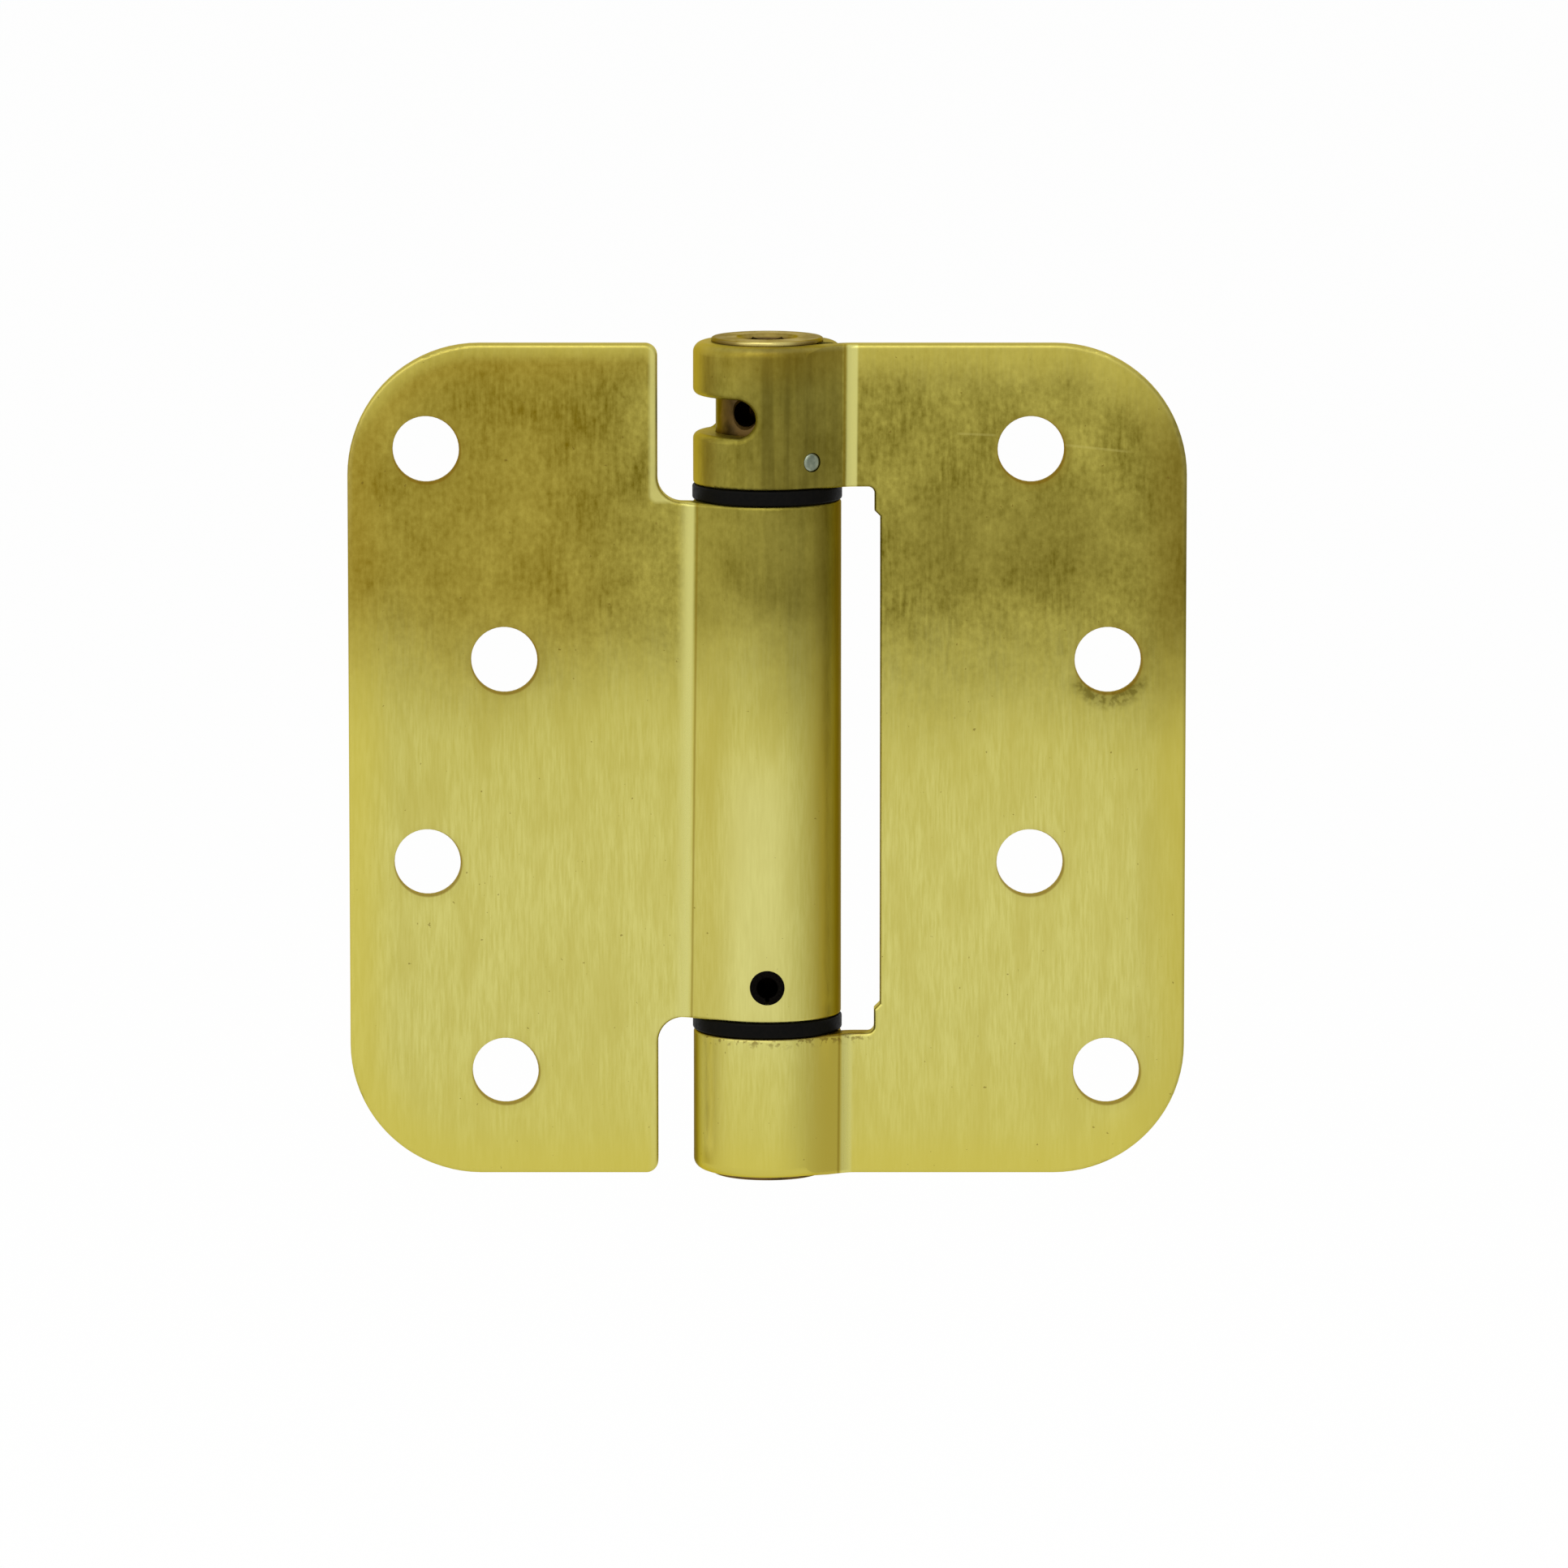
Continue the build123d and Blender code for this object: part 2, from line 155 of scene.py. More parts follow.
def finish_shader(tree, shader, colour, roughness, relief, depth):
    """Link colour and roughness, and a bump whose height is depth in millimetres."""
    bump = add(tree, "Bump", {"Height": relief, "Distance": depth * MM})
    tree.links.new(colour.outputs["Result"], shader.inputs["Base Color"])
    tree.links.new(roughness.outputs[0], shader.inputs["Roughness"])
    tree.links.new(bump.outputs[0], shader.inputs["Normal"])
    add(tree, "OutputMaterial", {"Surface": shader})


# %% [markdown]
# Every finish uses noise of a real size. A noise of scale 1 has features one metre wide, so the
# coordinates are divided by the size that a mark has on the metal, along X, Y and Z. Marks that
# are long and thin, such as those of a brush, are a noise that is stretched one way.


# %% Noises of a real size
def patterns(tree, place, sizes):
    """One noise for each name. sizes gives (x, y, z) in millimetres, detail and roughness."""
    drawn = {}
    for name, (size, detail, rough) in sizes.items():
        scale = [1 / (length * MM) for length in size]
        at = add(tree, "Mapping", {"Vector": place, "Scale": scale})
        feeds = {"Vector": at, "Scale": 1.0, "Detail": detail, "Roughness": rough}
        drawn[name] = add(tree, "TexNoise", feeds)
    return drawn


# %% Coats of colour
def coats(tree, ground, layers):
    """Lay colours over a ground: each layer is a mask and the hex colour that it brings."""
    for mask, code in layers:
        ground = add(tree, "Mix", (mask, ground, linear(code)), data_type="RGBA")
    return ground


# %% [markdown]
# Masks are combined in a few ways. Where several have to hold, they are multiplied. A strip is
# a smooth step of the distance from its own middle. A mark that only the mounting side has is
# multiplied by a mask that fades just behind that side's face.


# %% Masks that meet, and a strip
def overlap(tree, *masks):
    """1 only where all the masks are 1: their product."""
    total = masks[0]
    for mask in masks[1:]:
        total = add(tree, "Math", (total, mask), operation="MULTIPLY")
    return total


def strip(tree, value, low, high, soft):
    """1 between low and high, with soft edges: a smooth step of the distance from the middle."""
    off = add(tree, "Math", (value, (low + high) / 2), operation="SUBTRACT")
    away = add(tree, "Math", (off,), operation="ABSOLUTE")
    half = (high - low) / 2
    return add(tree, "MapRange", (away, half - soft / 2, half + soft / 2, 1.0, 0.0), **SMOOTH)


# %% Mask of the mounting side
PLATE_FACE = (0.0, 0.3 * MM)
BEND_FACE = (0.2 * MM, 0.7 * MM)


def mounting_side(tree, y, depths):
    """1 on the mounting face and 0 deeper in: a smooth step between two depths."""
    near, far = (mounting_y + depth for depth in depths)
    return add(tree, "MapRange", (y, near, far, 1.0, 0.0), **SMOOTH)


# %% [markdown]
# ## Satin brass plate
#
# The leaves are folded steel sheet with a thin brass plating that was brushed up and down and
# then lacquered. What makes that look is a set of masks, each a number between 0 and 1 worked
# out from the object's own coordinates: where the tarnish is, where the crease is burnished,
# how near the rim is. A painted picture could hold the same things, but masks stay sharp at any
# zoom and need no file.
#
# The first of them is the distance to the outline. The open hinge is a square with round
# corners, and the distance to such a shape has a short formula.

# %% Distance from the rim
CORNER_RADIUS = 15.9 * MM


def rim_distance(tree, place):
    """How far a point lies inside the round-cornered outline of the open hinge, in metres.

    Fold the plane into one quarter and take off the centre of that corner's round. Outside that
    centre the length of what is left counts, and inside it the larger of the two shares.
    """
    centre = (half_reach - CORNER_RADIUS, 0.0, half_height - CORNER_RADIUS)
    flat = add(tree, "VectorMath", (place, (1.0, 0.0, 1.0)), operation="MULTIPLY")
    folded = add(tree, "VectorMath", (flat,), operation="ABSOLUTE")
    past = add(tree, "VectorMath", (folded, centre), operation="SUBTRACT")
    outside = add(tree, "VectorMath", (past, (0.0, 0.0, 0.0)), operation="MAXIMUM")
    length = add(tree, "VectorMath", (outside,), operation="LENGTH")
    past_x, _, past_z = add(tree, "SeparateXYZ", (past,)).outputs
    larger = add(tree, "Math", (past_x, past_z), operation="MAXIMUM")
    inside = add(tree, "Math", (larger, 0.0), operation="MINIMUM")
    reach = add(tree, "Math", (length, inside), operation="ADD")
    return add(tree, "Math", (CORNER_RADIUS, reach), operation="SUBTRACT")


# %% [markdown]
# The crease is where the sheet leaves the plate to roll round the pin. Along it a bright band is
# painted, a painted highlight of the curved crease, with a thin brown line of painted shade on
# the barrel's side. Both follow the fold from end to end, also through the tarnish. Each band
# lies very slightly aslant, so its distance is measured from a line that leans by about a
# hundredth.

# %% Masks of the crease
FRAME_BAND = (9.3 * MM, 10.6 * MM)
FRAME_LINE = (8.9 * MM, 9.15 * MM)
FRAME_LEAN = -0.0075
DOOR_BAND_START = (8.9 * MM, 9.4 * MM)
DOOR_BAND_FADE = (9.5 * MM, 11.4 * MM)
DOOR_LINE = (8.7 * MM, 8.95 * MM)
DOOR_LEAN = -0.012
BAND_EDGE = 0.35 * MM
LINE_EDGE = 0.2 * MM
FOOT_SHARE = 0.7


def crease_masks(tree, x, y, z):
    """The painted highlight of the band and the painted shade of the line beside it, on the
    mounting side only.

    The frame leaf's band has two crisp edges and is a little weaker towards the foot. The door
    leaf's band is brightest at the crease and fades over the plate.
    """
    door = add(tree, "Math", (x, 0.0), operation="LESS_THAN")
    lean = add(tree, "Mix", (door, FRAME_LEAN, DOOR_LEAN), data_type="FLOAT")
    upright = add(tree, "Math", (z, lean, x), operation="MULTIPLY_ADD")
    reach = add(tree, "Math", (upright,), operation="ABSOLUTE")
    weaker_at_foot = add(tree, "MapRange", (z, -half_height, 0.0, FOOT_SHARE, 1.0), **SMOOTH)
    crisp = overlap(tree, strip(tree, reach, *FRAME_BAND, BAND_EDGE), weaker_at_foot)
    rise = add(tree, "MapRange", (reach, *DOOR_BAND_START, 0.0, 1.0), **SMOOTH)
    fade = add(tree, "MapRange", (reach, *DOOR_BAND_FADE, 1.0, 0.0), **SMOOTH)
    # The band's colour is a painted highlight, and the line's colour a painted shade.
    bright = add(tree, "Mix", (door, crisp, overlap(tree, rise, fade)), data_type="FLOAT")
    lines = [strip(tree, reach, *ends, LINE_EDGE) for ends in (FRAME_LINE, DOOR_LINE)]
    line = add(tree, "Mix", (door, *lines), data_type="FLOAT")
    front = mounting_side(tree, y, BEND_FACE)
    return overlap(tree, bright, front), overlap(tree, line, front)


# %% [markdown]
# Along the rounded rims of the door leaf's two notches a bright strip is painted, a painted
# highlight. A notch is a rectangle from the pin's axis to a fixed reach, so the distance from
# it is the length of what a point sticks out sideways and downwards.

# %% Mask of the painted highlight on the notch rims
NOTCH_REACH = 13.3 * MM
NOTCH_RIM = 1.25 * MM
NOTCH_DROP = 0.9 * MM
LOWER_NOTCH = 0.4
PLATE_START = (9.1 * MM, 9.6 * MM)


def notch_highlight_mask(tree, x, z):
    """Painted highlight: 1 along the door leaf's upper notch rim, weaker along the lower notch's.
    """
    height = add(tree, "Math", (z,), operation="ABSOLUTE")
    side = add(tree, "Math", (x, -1.0, -NOTCH_REACH), operation="MULTIPLY_ADD")
    below = add(tree, "Math", (knuckle_z - NOTCH_DROP, height), operation="SUBTRACT")
    past = add(tree, "CombineXYZ", {"X": side, "Z": below})
    outside = add(tree, "VectorMath", (past, (0.0, 0.0, 0.0)), operation="MAXIMUM")
    away = add(tree, "VectorMath", (outside,), operation="LENGTH")
    rim = add(tree, "MapRange", (away, 0.5 * NOTCH_RIM, NOTCH_RIM, 1.0, 0.0), **SMOOTH)
    start, end = PLATE_START
    plate_only = add(tree, "MapRange", (x, -end, -start, 1.0, 0.0), **SMOOTH)
    upper = add(tree, "MapRange", (z, -knuckle_z, knuckle_z, LOWER_NOTCH, 1.0), **SMOOTH)
    return overlap(tree, rim, plate_only, upper)


# %% [markdown]
# The plating has darkened from the top down to about mid height. The edge of that tarnish is
# soft and uneven, and it has worn off again along the top rim, where hands touch it. A broad
# noise shifts the height before the smooth step reads it, which makes the edge wander.

# %% Mask of the tarnish
TARNISH = (0 * MM, 22 * MM)
WANDER = 14 * MM
SIDE_LEAN = 0.02
WORN_FROM = 0.4 * MM
WORN_TO = (2.6 * MM, 7 * MM)
WORN_SHARE = 0.42
BELOW_TOP = (14 * MM, 5 * MM)
BESIDE_BARREL = 2 * MM


def tarnish_mask(tree, x, z, rim, cloud):
    """1 where the plating has darkened and 0 where it is clean.

    The strip that has worn off along the rim is wider at the right. It keeps to the top of the
    plates: one mask fades it out down the sides and another keeps it off the barrel.
    """
    shift = add(tree, "Math", (cloud, WANDER, -WANDER / 2), operation="MULTIPLY_ADD")
    height = add(tree, "Math", (x, SIDE_LEAN, z), operation="MULTIPLY_ADD")
    moved = add(tree, "Math", (height, shift), operation="ADD")
    dark = add(tree, "MapRange", (moved, *TARNISH, 0.0, 1.0), **SMOOTH)
    worn_to = add(tree, "MapRange", (x, 0.0, 20 * MM, *WORN_TO), **SMOOTH)
    border = add(tree, "MapRange", (rim, WORN_FROM, worn_to, WORN_SHARE, 0.0), **SMOOTH)
    heights = (half_height - depth for depth in BELOW_TOP)
    top = add(tree, "MapRange", (z, *heights, 0.0, 1.0), **SMOOTH)
    reach = add(tree, "Math", (x,), operation="ABSOLUTE")
    beside = (barrel_radius, barrel_radius + BESIDE_BARREL)
    plate_only = add(tree, "MapRange", (reach, *beside, 0.0, 1.0), **SMOOTH)
    worn = overlap(tree, border, top, plate_only)
    return overlap(tree, dark, add(tree, "Math", (1.0, worn), operation="SUBTRACT"))


# %% [markdown]
# The barrel is not one tone, and most of its tones are painted light. Its front carries a pale
# painted highlight, both its slopes are painted yellower and darker as shade, and the far flanks
# of the curl are painted brown as shade. The slopes and flanks are darker at the right, and the
# tarnished barrel is painted darker towards the right, most of all on the top knuckle, though
# the knuckle's left edge is lighter. Two narrow strips are painted highlights, one at the left
# of the bottom knuckle and one on the barrel's right slope. The flanks and strips show on the
# mounting side only. Each tone depends on how far a point lies to the left or the right, so
# their ramps stand in one table.

# %% Distance from the pin's axis
def axis_distance(tree, place):
    """The length of the part of the position that lies across Z."""
    flat = add(tree, "VectorMath", (place, (1.0, 1.0, 0.0)), operation="MULTIPLY")
    return add(tree, "VectorMath", (flat,), operation="LENGTH")


# %% Ramps across the barrel
# Where each ramp starts and ends, in millimetres to the right of the pin, and its mask there.
RAMPS = {
    # These slope and flank ramps are painted shade, deepest at the right.
    "right_slope": (3.2, 7.4, 0.0, 0.9),
    "left_slope": (-7, -3, 0.25, 0.0),
    "right_flank": (7.3, 8.8, 0.0, 0.95),
    "left_flank": (-9.2, -7.7, 0.6, 0.0),
    "foot_flank": (-8.9, -8, 0.5, 0.0),
    # These two ramps are painted shade that grows towards the right.
    "grip": (-6.5, 2.5, 0.05, 0.3),
    "knuckle_grip": (-6.5, 1.5, 0.0, 0.3),
    "ease_off": (4.8, 6.6, 1.0, 0.0),
    # This ramp makes the top knuckle's left edge lighter.
    "spared": (-8.4, -5.4, 0.6, 0.0),
}
BARREL_EDGE = (9.0 * MM, 9.15 * MM)
# Where the painted highlight on the barrel's front lies.
FRONT_HIGHLIGHT = (-5 * MM, 2.5 * MM, 5 * MM)
# Two narrow painted highlights: at the bottom knuckle's left and on the right slope.
FOOT_HIGHLIGHT = (-7.75 * MM, -6.75 * MM, 0.9 * MM)
SIDE_HIGHLIGHT = (6.5 * MM, 7.7 * MM, 0.9 * MM)
KNUCKLE_EDGE = 0.6 * MM
LOWER_FADE = 12 * MM
FOOT_ROUNDING = (1.5 * MM, 4 * MM)
GAP_DEPTH = 3 * MM


# %% Masks of the heights
def height_masks(tree, z):
    """The top knuckle, the barrel's lower half, the bottom knuckle, and all above its rounding."""
    above = add(tree, "MapRange", (z, knuckle_z - KNUCKLE_EDGE, knuckle_z, 0.0, 1.0), **SMOOTH)
    lower = strip(tree, z, -knuckle_z, 0.0, LOWER_FADE)
    foot = add(tree, "MapRange", (z, -knuckle_z - KNUCKLE_EDGE, -knuckle_z, 1.0, 0.0), **SMOOTH)
    heights = (depth - half_height for depth in FOOT_ROUNDING)
    past_rounding = add(tree, "MapRange", (z, *heights, 0.0, 1.0), **SMOOTH)
    return above, lower, foot, past_rounding


# %% Masks of the barrel and the knuckles
def barrel_masks(tree, place, x, y, z):
    """Painted highlights and painted shade of the barrel, and its lighter left edge, by name."""
    across = {name: add(tree, "MapRange", (x, start * MM, end * MM, low, high), **SMOOTH)
              for name, (start, end, low, high) in RAMPS.items()}
    above, lower, foot, past_rounding = height_masks(tree, z)
    below = add(tree, "Math", (1.0, above), operation="SUBTRACT")
    reach = add(tree, "Math", (x,), operation="ABSOLUTE")
    barrel = add(tree, "MapRange", (reach, *BARREL_EDGE, 1.0, 0.0), **SMOOTH)
    radius = axis_distance(tree, place)
    curl = add(tree, "MapRange", (radius, *PLATE_START, 1.0, 0.0), **SMOOTH)
    gap_side = add(tree, "MapRange", (y, 0.0, GAP_DEPTH, 1.0, 0.0), **SMOOTH)

    slope = add(tree, "Math", (across["right_slope"], across["left_slope"]), operation="ADD")
    foot_flank = overlap(tree, across["foot_flank"], foot)
    left = add(tree, "Math", (across["left_flank"], foot_flank), operation="ADD", use_clamp=True)
    flank = add(tree, "Math", (across["right_flank"], left), operation="ADD")
    more = overlap(tree, above, across["knuckle_grip"], across["ease_off"])
    grip = add(tree, "Math", (across["grip"], more), operation="ADD")
    foot_strip = strip(tree, x, *FOOT_HIGHLIGHT)
    return {
        # Painted highlight on the barrel's front.
        "rubbed": overlap(tree, barrel, strip(tree, x, *FRONT_HIGHLIGHT), lower),
        # Painted shade on the barrel's slopes.
        "slope": overlap(tree, barrel, slope, below),
        # Painted shade on the curl's far flanks.
        "flank": overlap(tree, curl, flank, gap_side, below),
        # Painted shade, darker towards the right.
        "grip": overlap(tree, barrel, grip),
        "spared": overlap(tree, curl, above, across["spared"]),
        # Two narrow painted highlights.
        "polished_foot": overlap(tree, foot_strip, foot, gap_side, past_rounding),
        "polished_side": overlap(tree, strip(tree, x, *SIDE_HIGHLIGHT), lower, gap_side),
    }


# %% [markdown]
# Each hole has a thin brown line at its lower edge, which is painted shade, and, most of all
# in the tarnish, a duller halo towards the lower right, partly dirt and partly painted shade.
# One leaf turned half round lies on the other, so a point of the frame leaf is turned to the
# door leaf, and the nearest of four centres counts.


# %% Distance from the screw holes
def hole_distance(tree, place, aside):
    """Distance to the nearest hole's edge in metres, with the holes moved by aside."""
    at = add(tree, "VectorMath", (place, aside), operation="SUBTRACT")
    side = add(tree, "Math", (add(tree, "SeparateXYZ", (at,)).outputs[0],), operation="SIGN")
    turned = add(tree, "VectorMath", (at, (-1.0, 0.0, -1.0)), operation="MULTIPLY")
    folded = add(tree, "VectorMath", (turned, side), operation="SCALE")
    nearest = 1.0  # a metre, farther than any hole
    for centre in screw_holes():
        away = add(tree, "VectorMath", (folded, centre), operation="DISTANCE")
        nearest = add(tree, "Math", (nearest, away), operation="MINIMUM")
    return add(tree, "Math", (nearest, hole_radius), operation="SUBTRACT")


# %% Halo and ring of the holes
HALO_SHIFT = (0.3 * MM, 0.0, -0.3 * MM)
HALO_REACH = 1.3 * MM
RING_SHIFT = (0.1 * MM, 0.0, -0.16 * MM)
RING_REACH = 0.28 * MM


def hole_masks(tree, place):
    """Two fades from the holes' edges: a wide weak one, the halo, and a narrow one, the ring."""
    halo = hole_distance(tree, place, HALO_SHIFT)
    ring = hole_distance(tree, place, RING_SHIFT)
    # The ring is painted shade at each hole's lower edge; the halo is partly dirt, partly painted
    # shade.
    return (add(tree, "MapRange", (halo, 0.0, HALO_REACH, 0.35, 0.0), **SMOOTH),
            add(tree, "MapRange", (ring, 0.0, RING_REACH, 0.7, 0.0), **SMOOTH))


# %% [markdown]
# Below the frame leaf's upper outer hole the plate has a smudge of old lacquer. It is the same
# distance again, with the holes moved down, kept to that one hole by two strips and broken up
# by flecks.

# %% Mask of the smudge
SMUDGE_SHIFT = (0.2 * MM, 0.0, -1.0 * MM)
SMUDGE_REACH = 1.6 * MM
SMUDGE_ACROSS = (35 * MM, 48 * MM, 3 * MM)
SMUDGE_UP = (4 * MM, 10 * MM, 2 * MM)


def smudge_mask(tree, place, x, y, z, flecks):
    """A dull uneven patch that fades out from the hole's lower edge."""
    away = hole_distance(tree, place, SMUDGE_SHIFT)
    near = add(tree, "MapRange", (away, 0.0, SMUDGE_REACH, 1.0, 0.0), **SMOOTH)
    uneven = add(tree, "MapRange", (flecks, 0.35, 0.62, 0.35, 1.0), **SMOOTH)
    one_hole = overlap(tree, strip(tree, x, *SMUDGE_ACROSS), strip(tree, z, *SMUDGE_UP))
    return overlap(tree, near, uneven, one_hole, mounting_side(tree, y, PLATE_FACE))


# %% [markdown]
# Two faint scratches run across the frame leaf. A scratch is a straight line between two
# points: the line's direction gives one axis along it, where the point must lie between the
# ends, and one across it, where it must be within the width.

# %% Mask of the scratches
# The (x, z) of each scratch's two ends, in millimetres.
SCRATCHES = (((36.1, 38.6), (43.6, 37.8)), ((23.2, 40.0), (27.7, 39.8)))
SCRATCH_WIDTH = 0.14 * MM


def scratch_mask(tree, place, y):
    """1 on either scratch, on the mounting side only: the larger of the two masks counts."""
    either = 0.0
    for ends in SCRATCHES:
        start, end = (Vector((x, 0, z)) * MM for x, z in ends)
        length = (end - start).length
        way = (end - start).normalized()
        from_start = add(tree, "VectorMath", (place, start), operation="SUBTRACT")
        along = add(tree, "VectorMath", (from_start, way), operation="DOT_PRODUCT")
        sideways = (-way.z, 0, way.x)
        across = add(tree, "VectorMath", (from_start, sideways), operation="DOT_PRODUCT")
        line = strip(tree, across, -SCRATCH_WIDTH, SCRATCH_WIDTH, SCRATCH_WIDTH)
        scratch = overlap(tree, line, strip(tree, along, 0.0, length, length / 4))
        either = add(tree, "Math", (either, scratch), operation="MAXIMUM")
    return overlap(tree, either, mounting_side(tree, y, PLATE_FACE))


# %% [markdown]
# Where the bottom knuckle meets its bearing, a thin brown line of painted shade runs along the
# edge under the bearing, and flecks of dirt lie within a millimetre or two of it.


# %% Mask of the grime and painted shade
SHADED_LINE = (0.12 * MM, 0.42 * MM)
GRIME_REACH = (0.3 * MM, 1.6 * MM)
PAST_BARREL = (3 * MM, 5 * MM)


def grime_and_shade_mask(tree, place, z, flecks):
    """A painted-shade line along the bottom knuckle's upper edge, and flecks of dirt near it.

    Both stop a few millimetres outside the barrel.
    """
    off = add(tree, "Math", (z, knuckle_z), operation="ADD")
    away = add(tree, "Math", (off,), operation="ABSOLUTE")
    line = add(tree, "MapRange", (away, *SHADED_LINE, 0.8, 0.0), **SMOOTH)
    spots = add(tree, "MapRange", (flecks, 0.53, 0.63, 0.0, 1.0), **SMOOTH)
    near = add(tree, "MapRange", (away, *GRIME_REACH, 0.6, 0.0), **SMOOTH)
    both = add(tree, "Math", (line, overlap(tree, spots, near)), operation="MAXIMUM")
    ends = (barrel_radius + past for past in PAST_BARREL)
    joint = add(tree, "MapRange", (axis_distance(tree, place), *ends, 1.0, 0.0), **SMOOTH)
    return overlap(tree, both, joint)


# %% [markdown]
# Now the colours. The clean plate is a pale green-gold with fine streaks of the brush. The dark
# part mixes broad patches, short streaks inside them and a fine grain, since one noise alone
# looks like cloth. The real brush marks are finer than a pixel, so they are drawn about 0.3 mm
# wide.

# %% Sizes of the plate's marks
PLATE_MARKS = {
    "brush": ((0.3, 0.3, 3.2), 3.0, 0.6),
    "broad": ((2.5, 2.5, 12), 2.0, 0.5),
    "patches": ((7, 7, 8), 5.0, 0.62),
    "streaks": ((0.5, 0.5, 4), 3.0, 0.55),
    "fine": ((0.65, 0.65, 0.85), 3.0, 0.6),
    "cloud": ((14, 14, 18), 3.0, 0.5),
    "bands": ((1.4, 1.4, 30), 2.0, 0.5),
    "flecks": ((0.7, 0.7, 0.7), 2.0, 0.5),
}


# %% Colour of the clean plate
def clean_tone(tree, marks):
    """Two pale golds mixed by the brush marks, and a warmer one in broad soft streaks."""
    brushed = add(tree, "MapRange", (marks["brush"], 0.25, 0.75, 0.0, 1.0), **SMOOTH)
    warm = add(tree, "MapRange", (marks["broad"], 0.4, 0.75, 0.0, 0.6), **SMOOTH)
    return coats(tree, linear("#C3BB61"), [(brushed, "#D0CA75"), (warm, "#BFB55A")])


# %% Colour of the tarnished plate
MOTTLE_EDGE = (9.0 * MM, 9.2 * MM)
BARREL_MOTTLE = 0.55


def tarnished_tone(tree, place, marks, grip):
    """Patches, plus streaks that show most in the darker patches, plus a fine mottle.

    The barrel was polished before the tarnish came, so its streaks and mottle are weaker than
    the plate's. Upright bands make the painted shade on the barrel uneven.
    """
    x = add(tree, "SeparateXYZ", (place,)).outputs[0]
    reach = add(tree, "Math", (x,), operation="ABSOLUTE")
    weight = add(tree, "MapRange", (reach, *MOTTLE_EDGE, BARREL_MOTTLE, 1.0), **SMOOTH)
    gate = add(tree, "MapRange", (marks["patches"], 0.38, 0.55, 0.7, 0.3), **SMOOTH)
    centred = add(tree, "Math", (marks["streaks"], 0.5), operation="SUBTRACT")
    fine = add(tree, "Math", (marks["fine"], 0.7, -0.35), operation="MULTIPLY_ADD")
    mottle = add(tree, "Math", (overlap(tree, centred, gate), fine), operation="ADD")
    rough = overlap(tree, mottle, weight)
    shade = add(tree, "Math", (rough, marks["patches"]), operation="ADD")
    light = add(tree, "MapRange", (shade, 0.1, 0.9, 0.0, 1.0))
    bands = add(tree, "MapRange", (marks["bands"], 0.3, 0.7, 0.7, 1.3), **SMOOTH)
    # Painted shade over the barrel, darker towards the right and broken by upright bands.
    uneven_shade = overlap(tree, grip, bands)
    return coats(tree, linear("#64590F"), [(light, "#B4A94F"), (uneven_shade, "#453C10")])


# %% [markdown]
# Thin coats lie over these two grounds. The broad ones turn the tarnish warmer at the left, haze
# the clean plate towards it, yellow the border and the foot, and darken the right rim and a
# patch below the frame leaf's upper hole. The narrow ones are partly marks of use and of dirt
# and partly painted light: painted highlights along the top edge, the crease, the notches and
# the barrel, and painted shade on the barrel and at the holes. The masks above place them.

# %% Masks of the broad tones
BORDER = (0.5 * MM, 6.5 * MM)
EDGE_HIGHLIGHT = (0.15 * MM, 0.8 * MM)
UPPER_EDGE = (20 * MM, 40 * MM)
RIGHT_RIM = 9 * MM
FOOT = 20 * MM
HAZE = (-16 * MM, 6 * MM)
WARMER = (-30 * MM, -8 * MM)
SHADOW_ACROSS = (16 * MM, 44 * MM, 12 * MM)
SHADOW_UP = (21 * MM, 33 * MM, 8 * MM)


def tone_masks(tree, x, z, rim):
    """Where the plate differs from its middle, by name."""
    # The bright edge along the top rim is a painted highlight.
    edge = add(tree, "MapRange", (rim, *EDGE_HIGHLIGHT, 0.12, 0.0), **SMOOTH)
    upper = add(tree, "MapRange", (z, *UPPER_EDGE, 0.1, 1.0), **SMOOTH)
    rim_start, foot_end = half_reach - RIGHT_RIM, FOOT - half_height
    return {
        "warmer": add(tree, "MapRange", (x, *WARMER, 0.25, 0.0), **SMOOTH),
        "haze": add(tree, "MapRange", (z, *HAZE, 0.0, 0.22), **SMOOTH),
        "border": add(tree, "MapRange", (rim, *BORDER, 0.6, 0.0), **SMOOTH),
        "foot": add(tree, "MapRange", (z, -half_height, foot_end, 0.5, 0.0), **SMOOTH),
        "right_rim": add(tree, "MapRange", (x, rim_start, half_reach, 0.0, 0.5), **SMOOTH),
        "shadow": overlap(tree, strip(tree, x, *SHADOW_ACROSS), strip(tree, z, *SHADOW_UP)),
        "edge": overlap(tree, edge, upper),
    }


# %% All the masks of the plate
def plate_masks(tree, place, marks):
    """Every mask of the plate by its name, worked out by the functions above."""
    x, y, z = add(tree, "SeparateXYZ", (place,)).outputs
    rim = rim_distance(tree, place)
    flecks = marks["flecks"]
    tarnish = tarnish_mask(tree, x, z, rim, marks["cloud"])
    masks = {**tone_masks(tree, x, z, rim), **barrel_masks(tree, place, x, y, z)}
    masks["tarnish"] = tarnish
    masks["untarnished"] = add(tree, "Math", (1.0, tarnish), operation="SUBTRACT")
    masks["mostly_tarnish"] = add(tree, "MapRange", (tarnish, 0.0, 1.0, 0.25, 1.0), **SMOOTH)
    masks["mostly_clean"] = add(tree, "MapRange", (tarnish, 0.0, 1.0, 1.0, 0.3))
    masks["bright"], masks["line"] = crease_masks(tree, x, y, z)
    masks["halo"], masks["ring"] = hole_masks(tree, place)
    masks["notch"] = notch_highlight_mask(tree, x, z)
    masks["smudge"] = smudge_mask(tree, place, x, y, z, flecks)
    masks["scratches"] = scratch_mask(tree, place, y)
    masks["grime"] = grime_and_shade_mask(tree, place, z, flecks)
    masks["specks"] = add(tree, "MapRange", (flecks, 0.745, 0.78, 0.0, 0.6), **SMOOTH)
    return masks


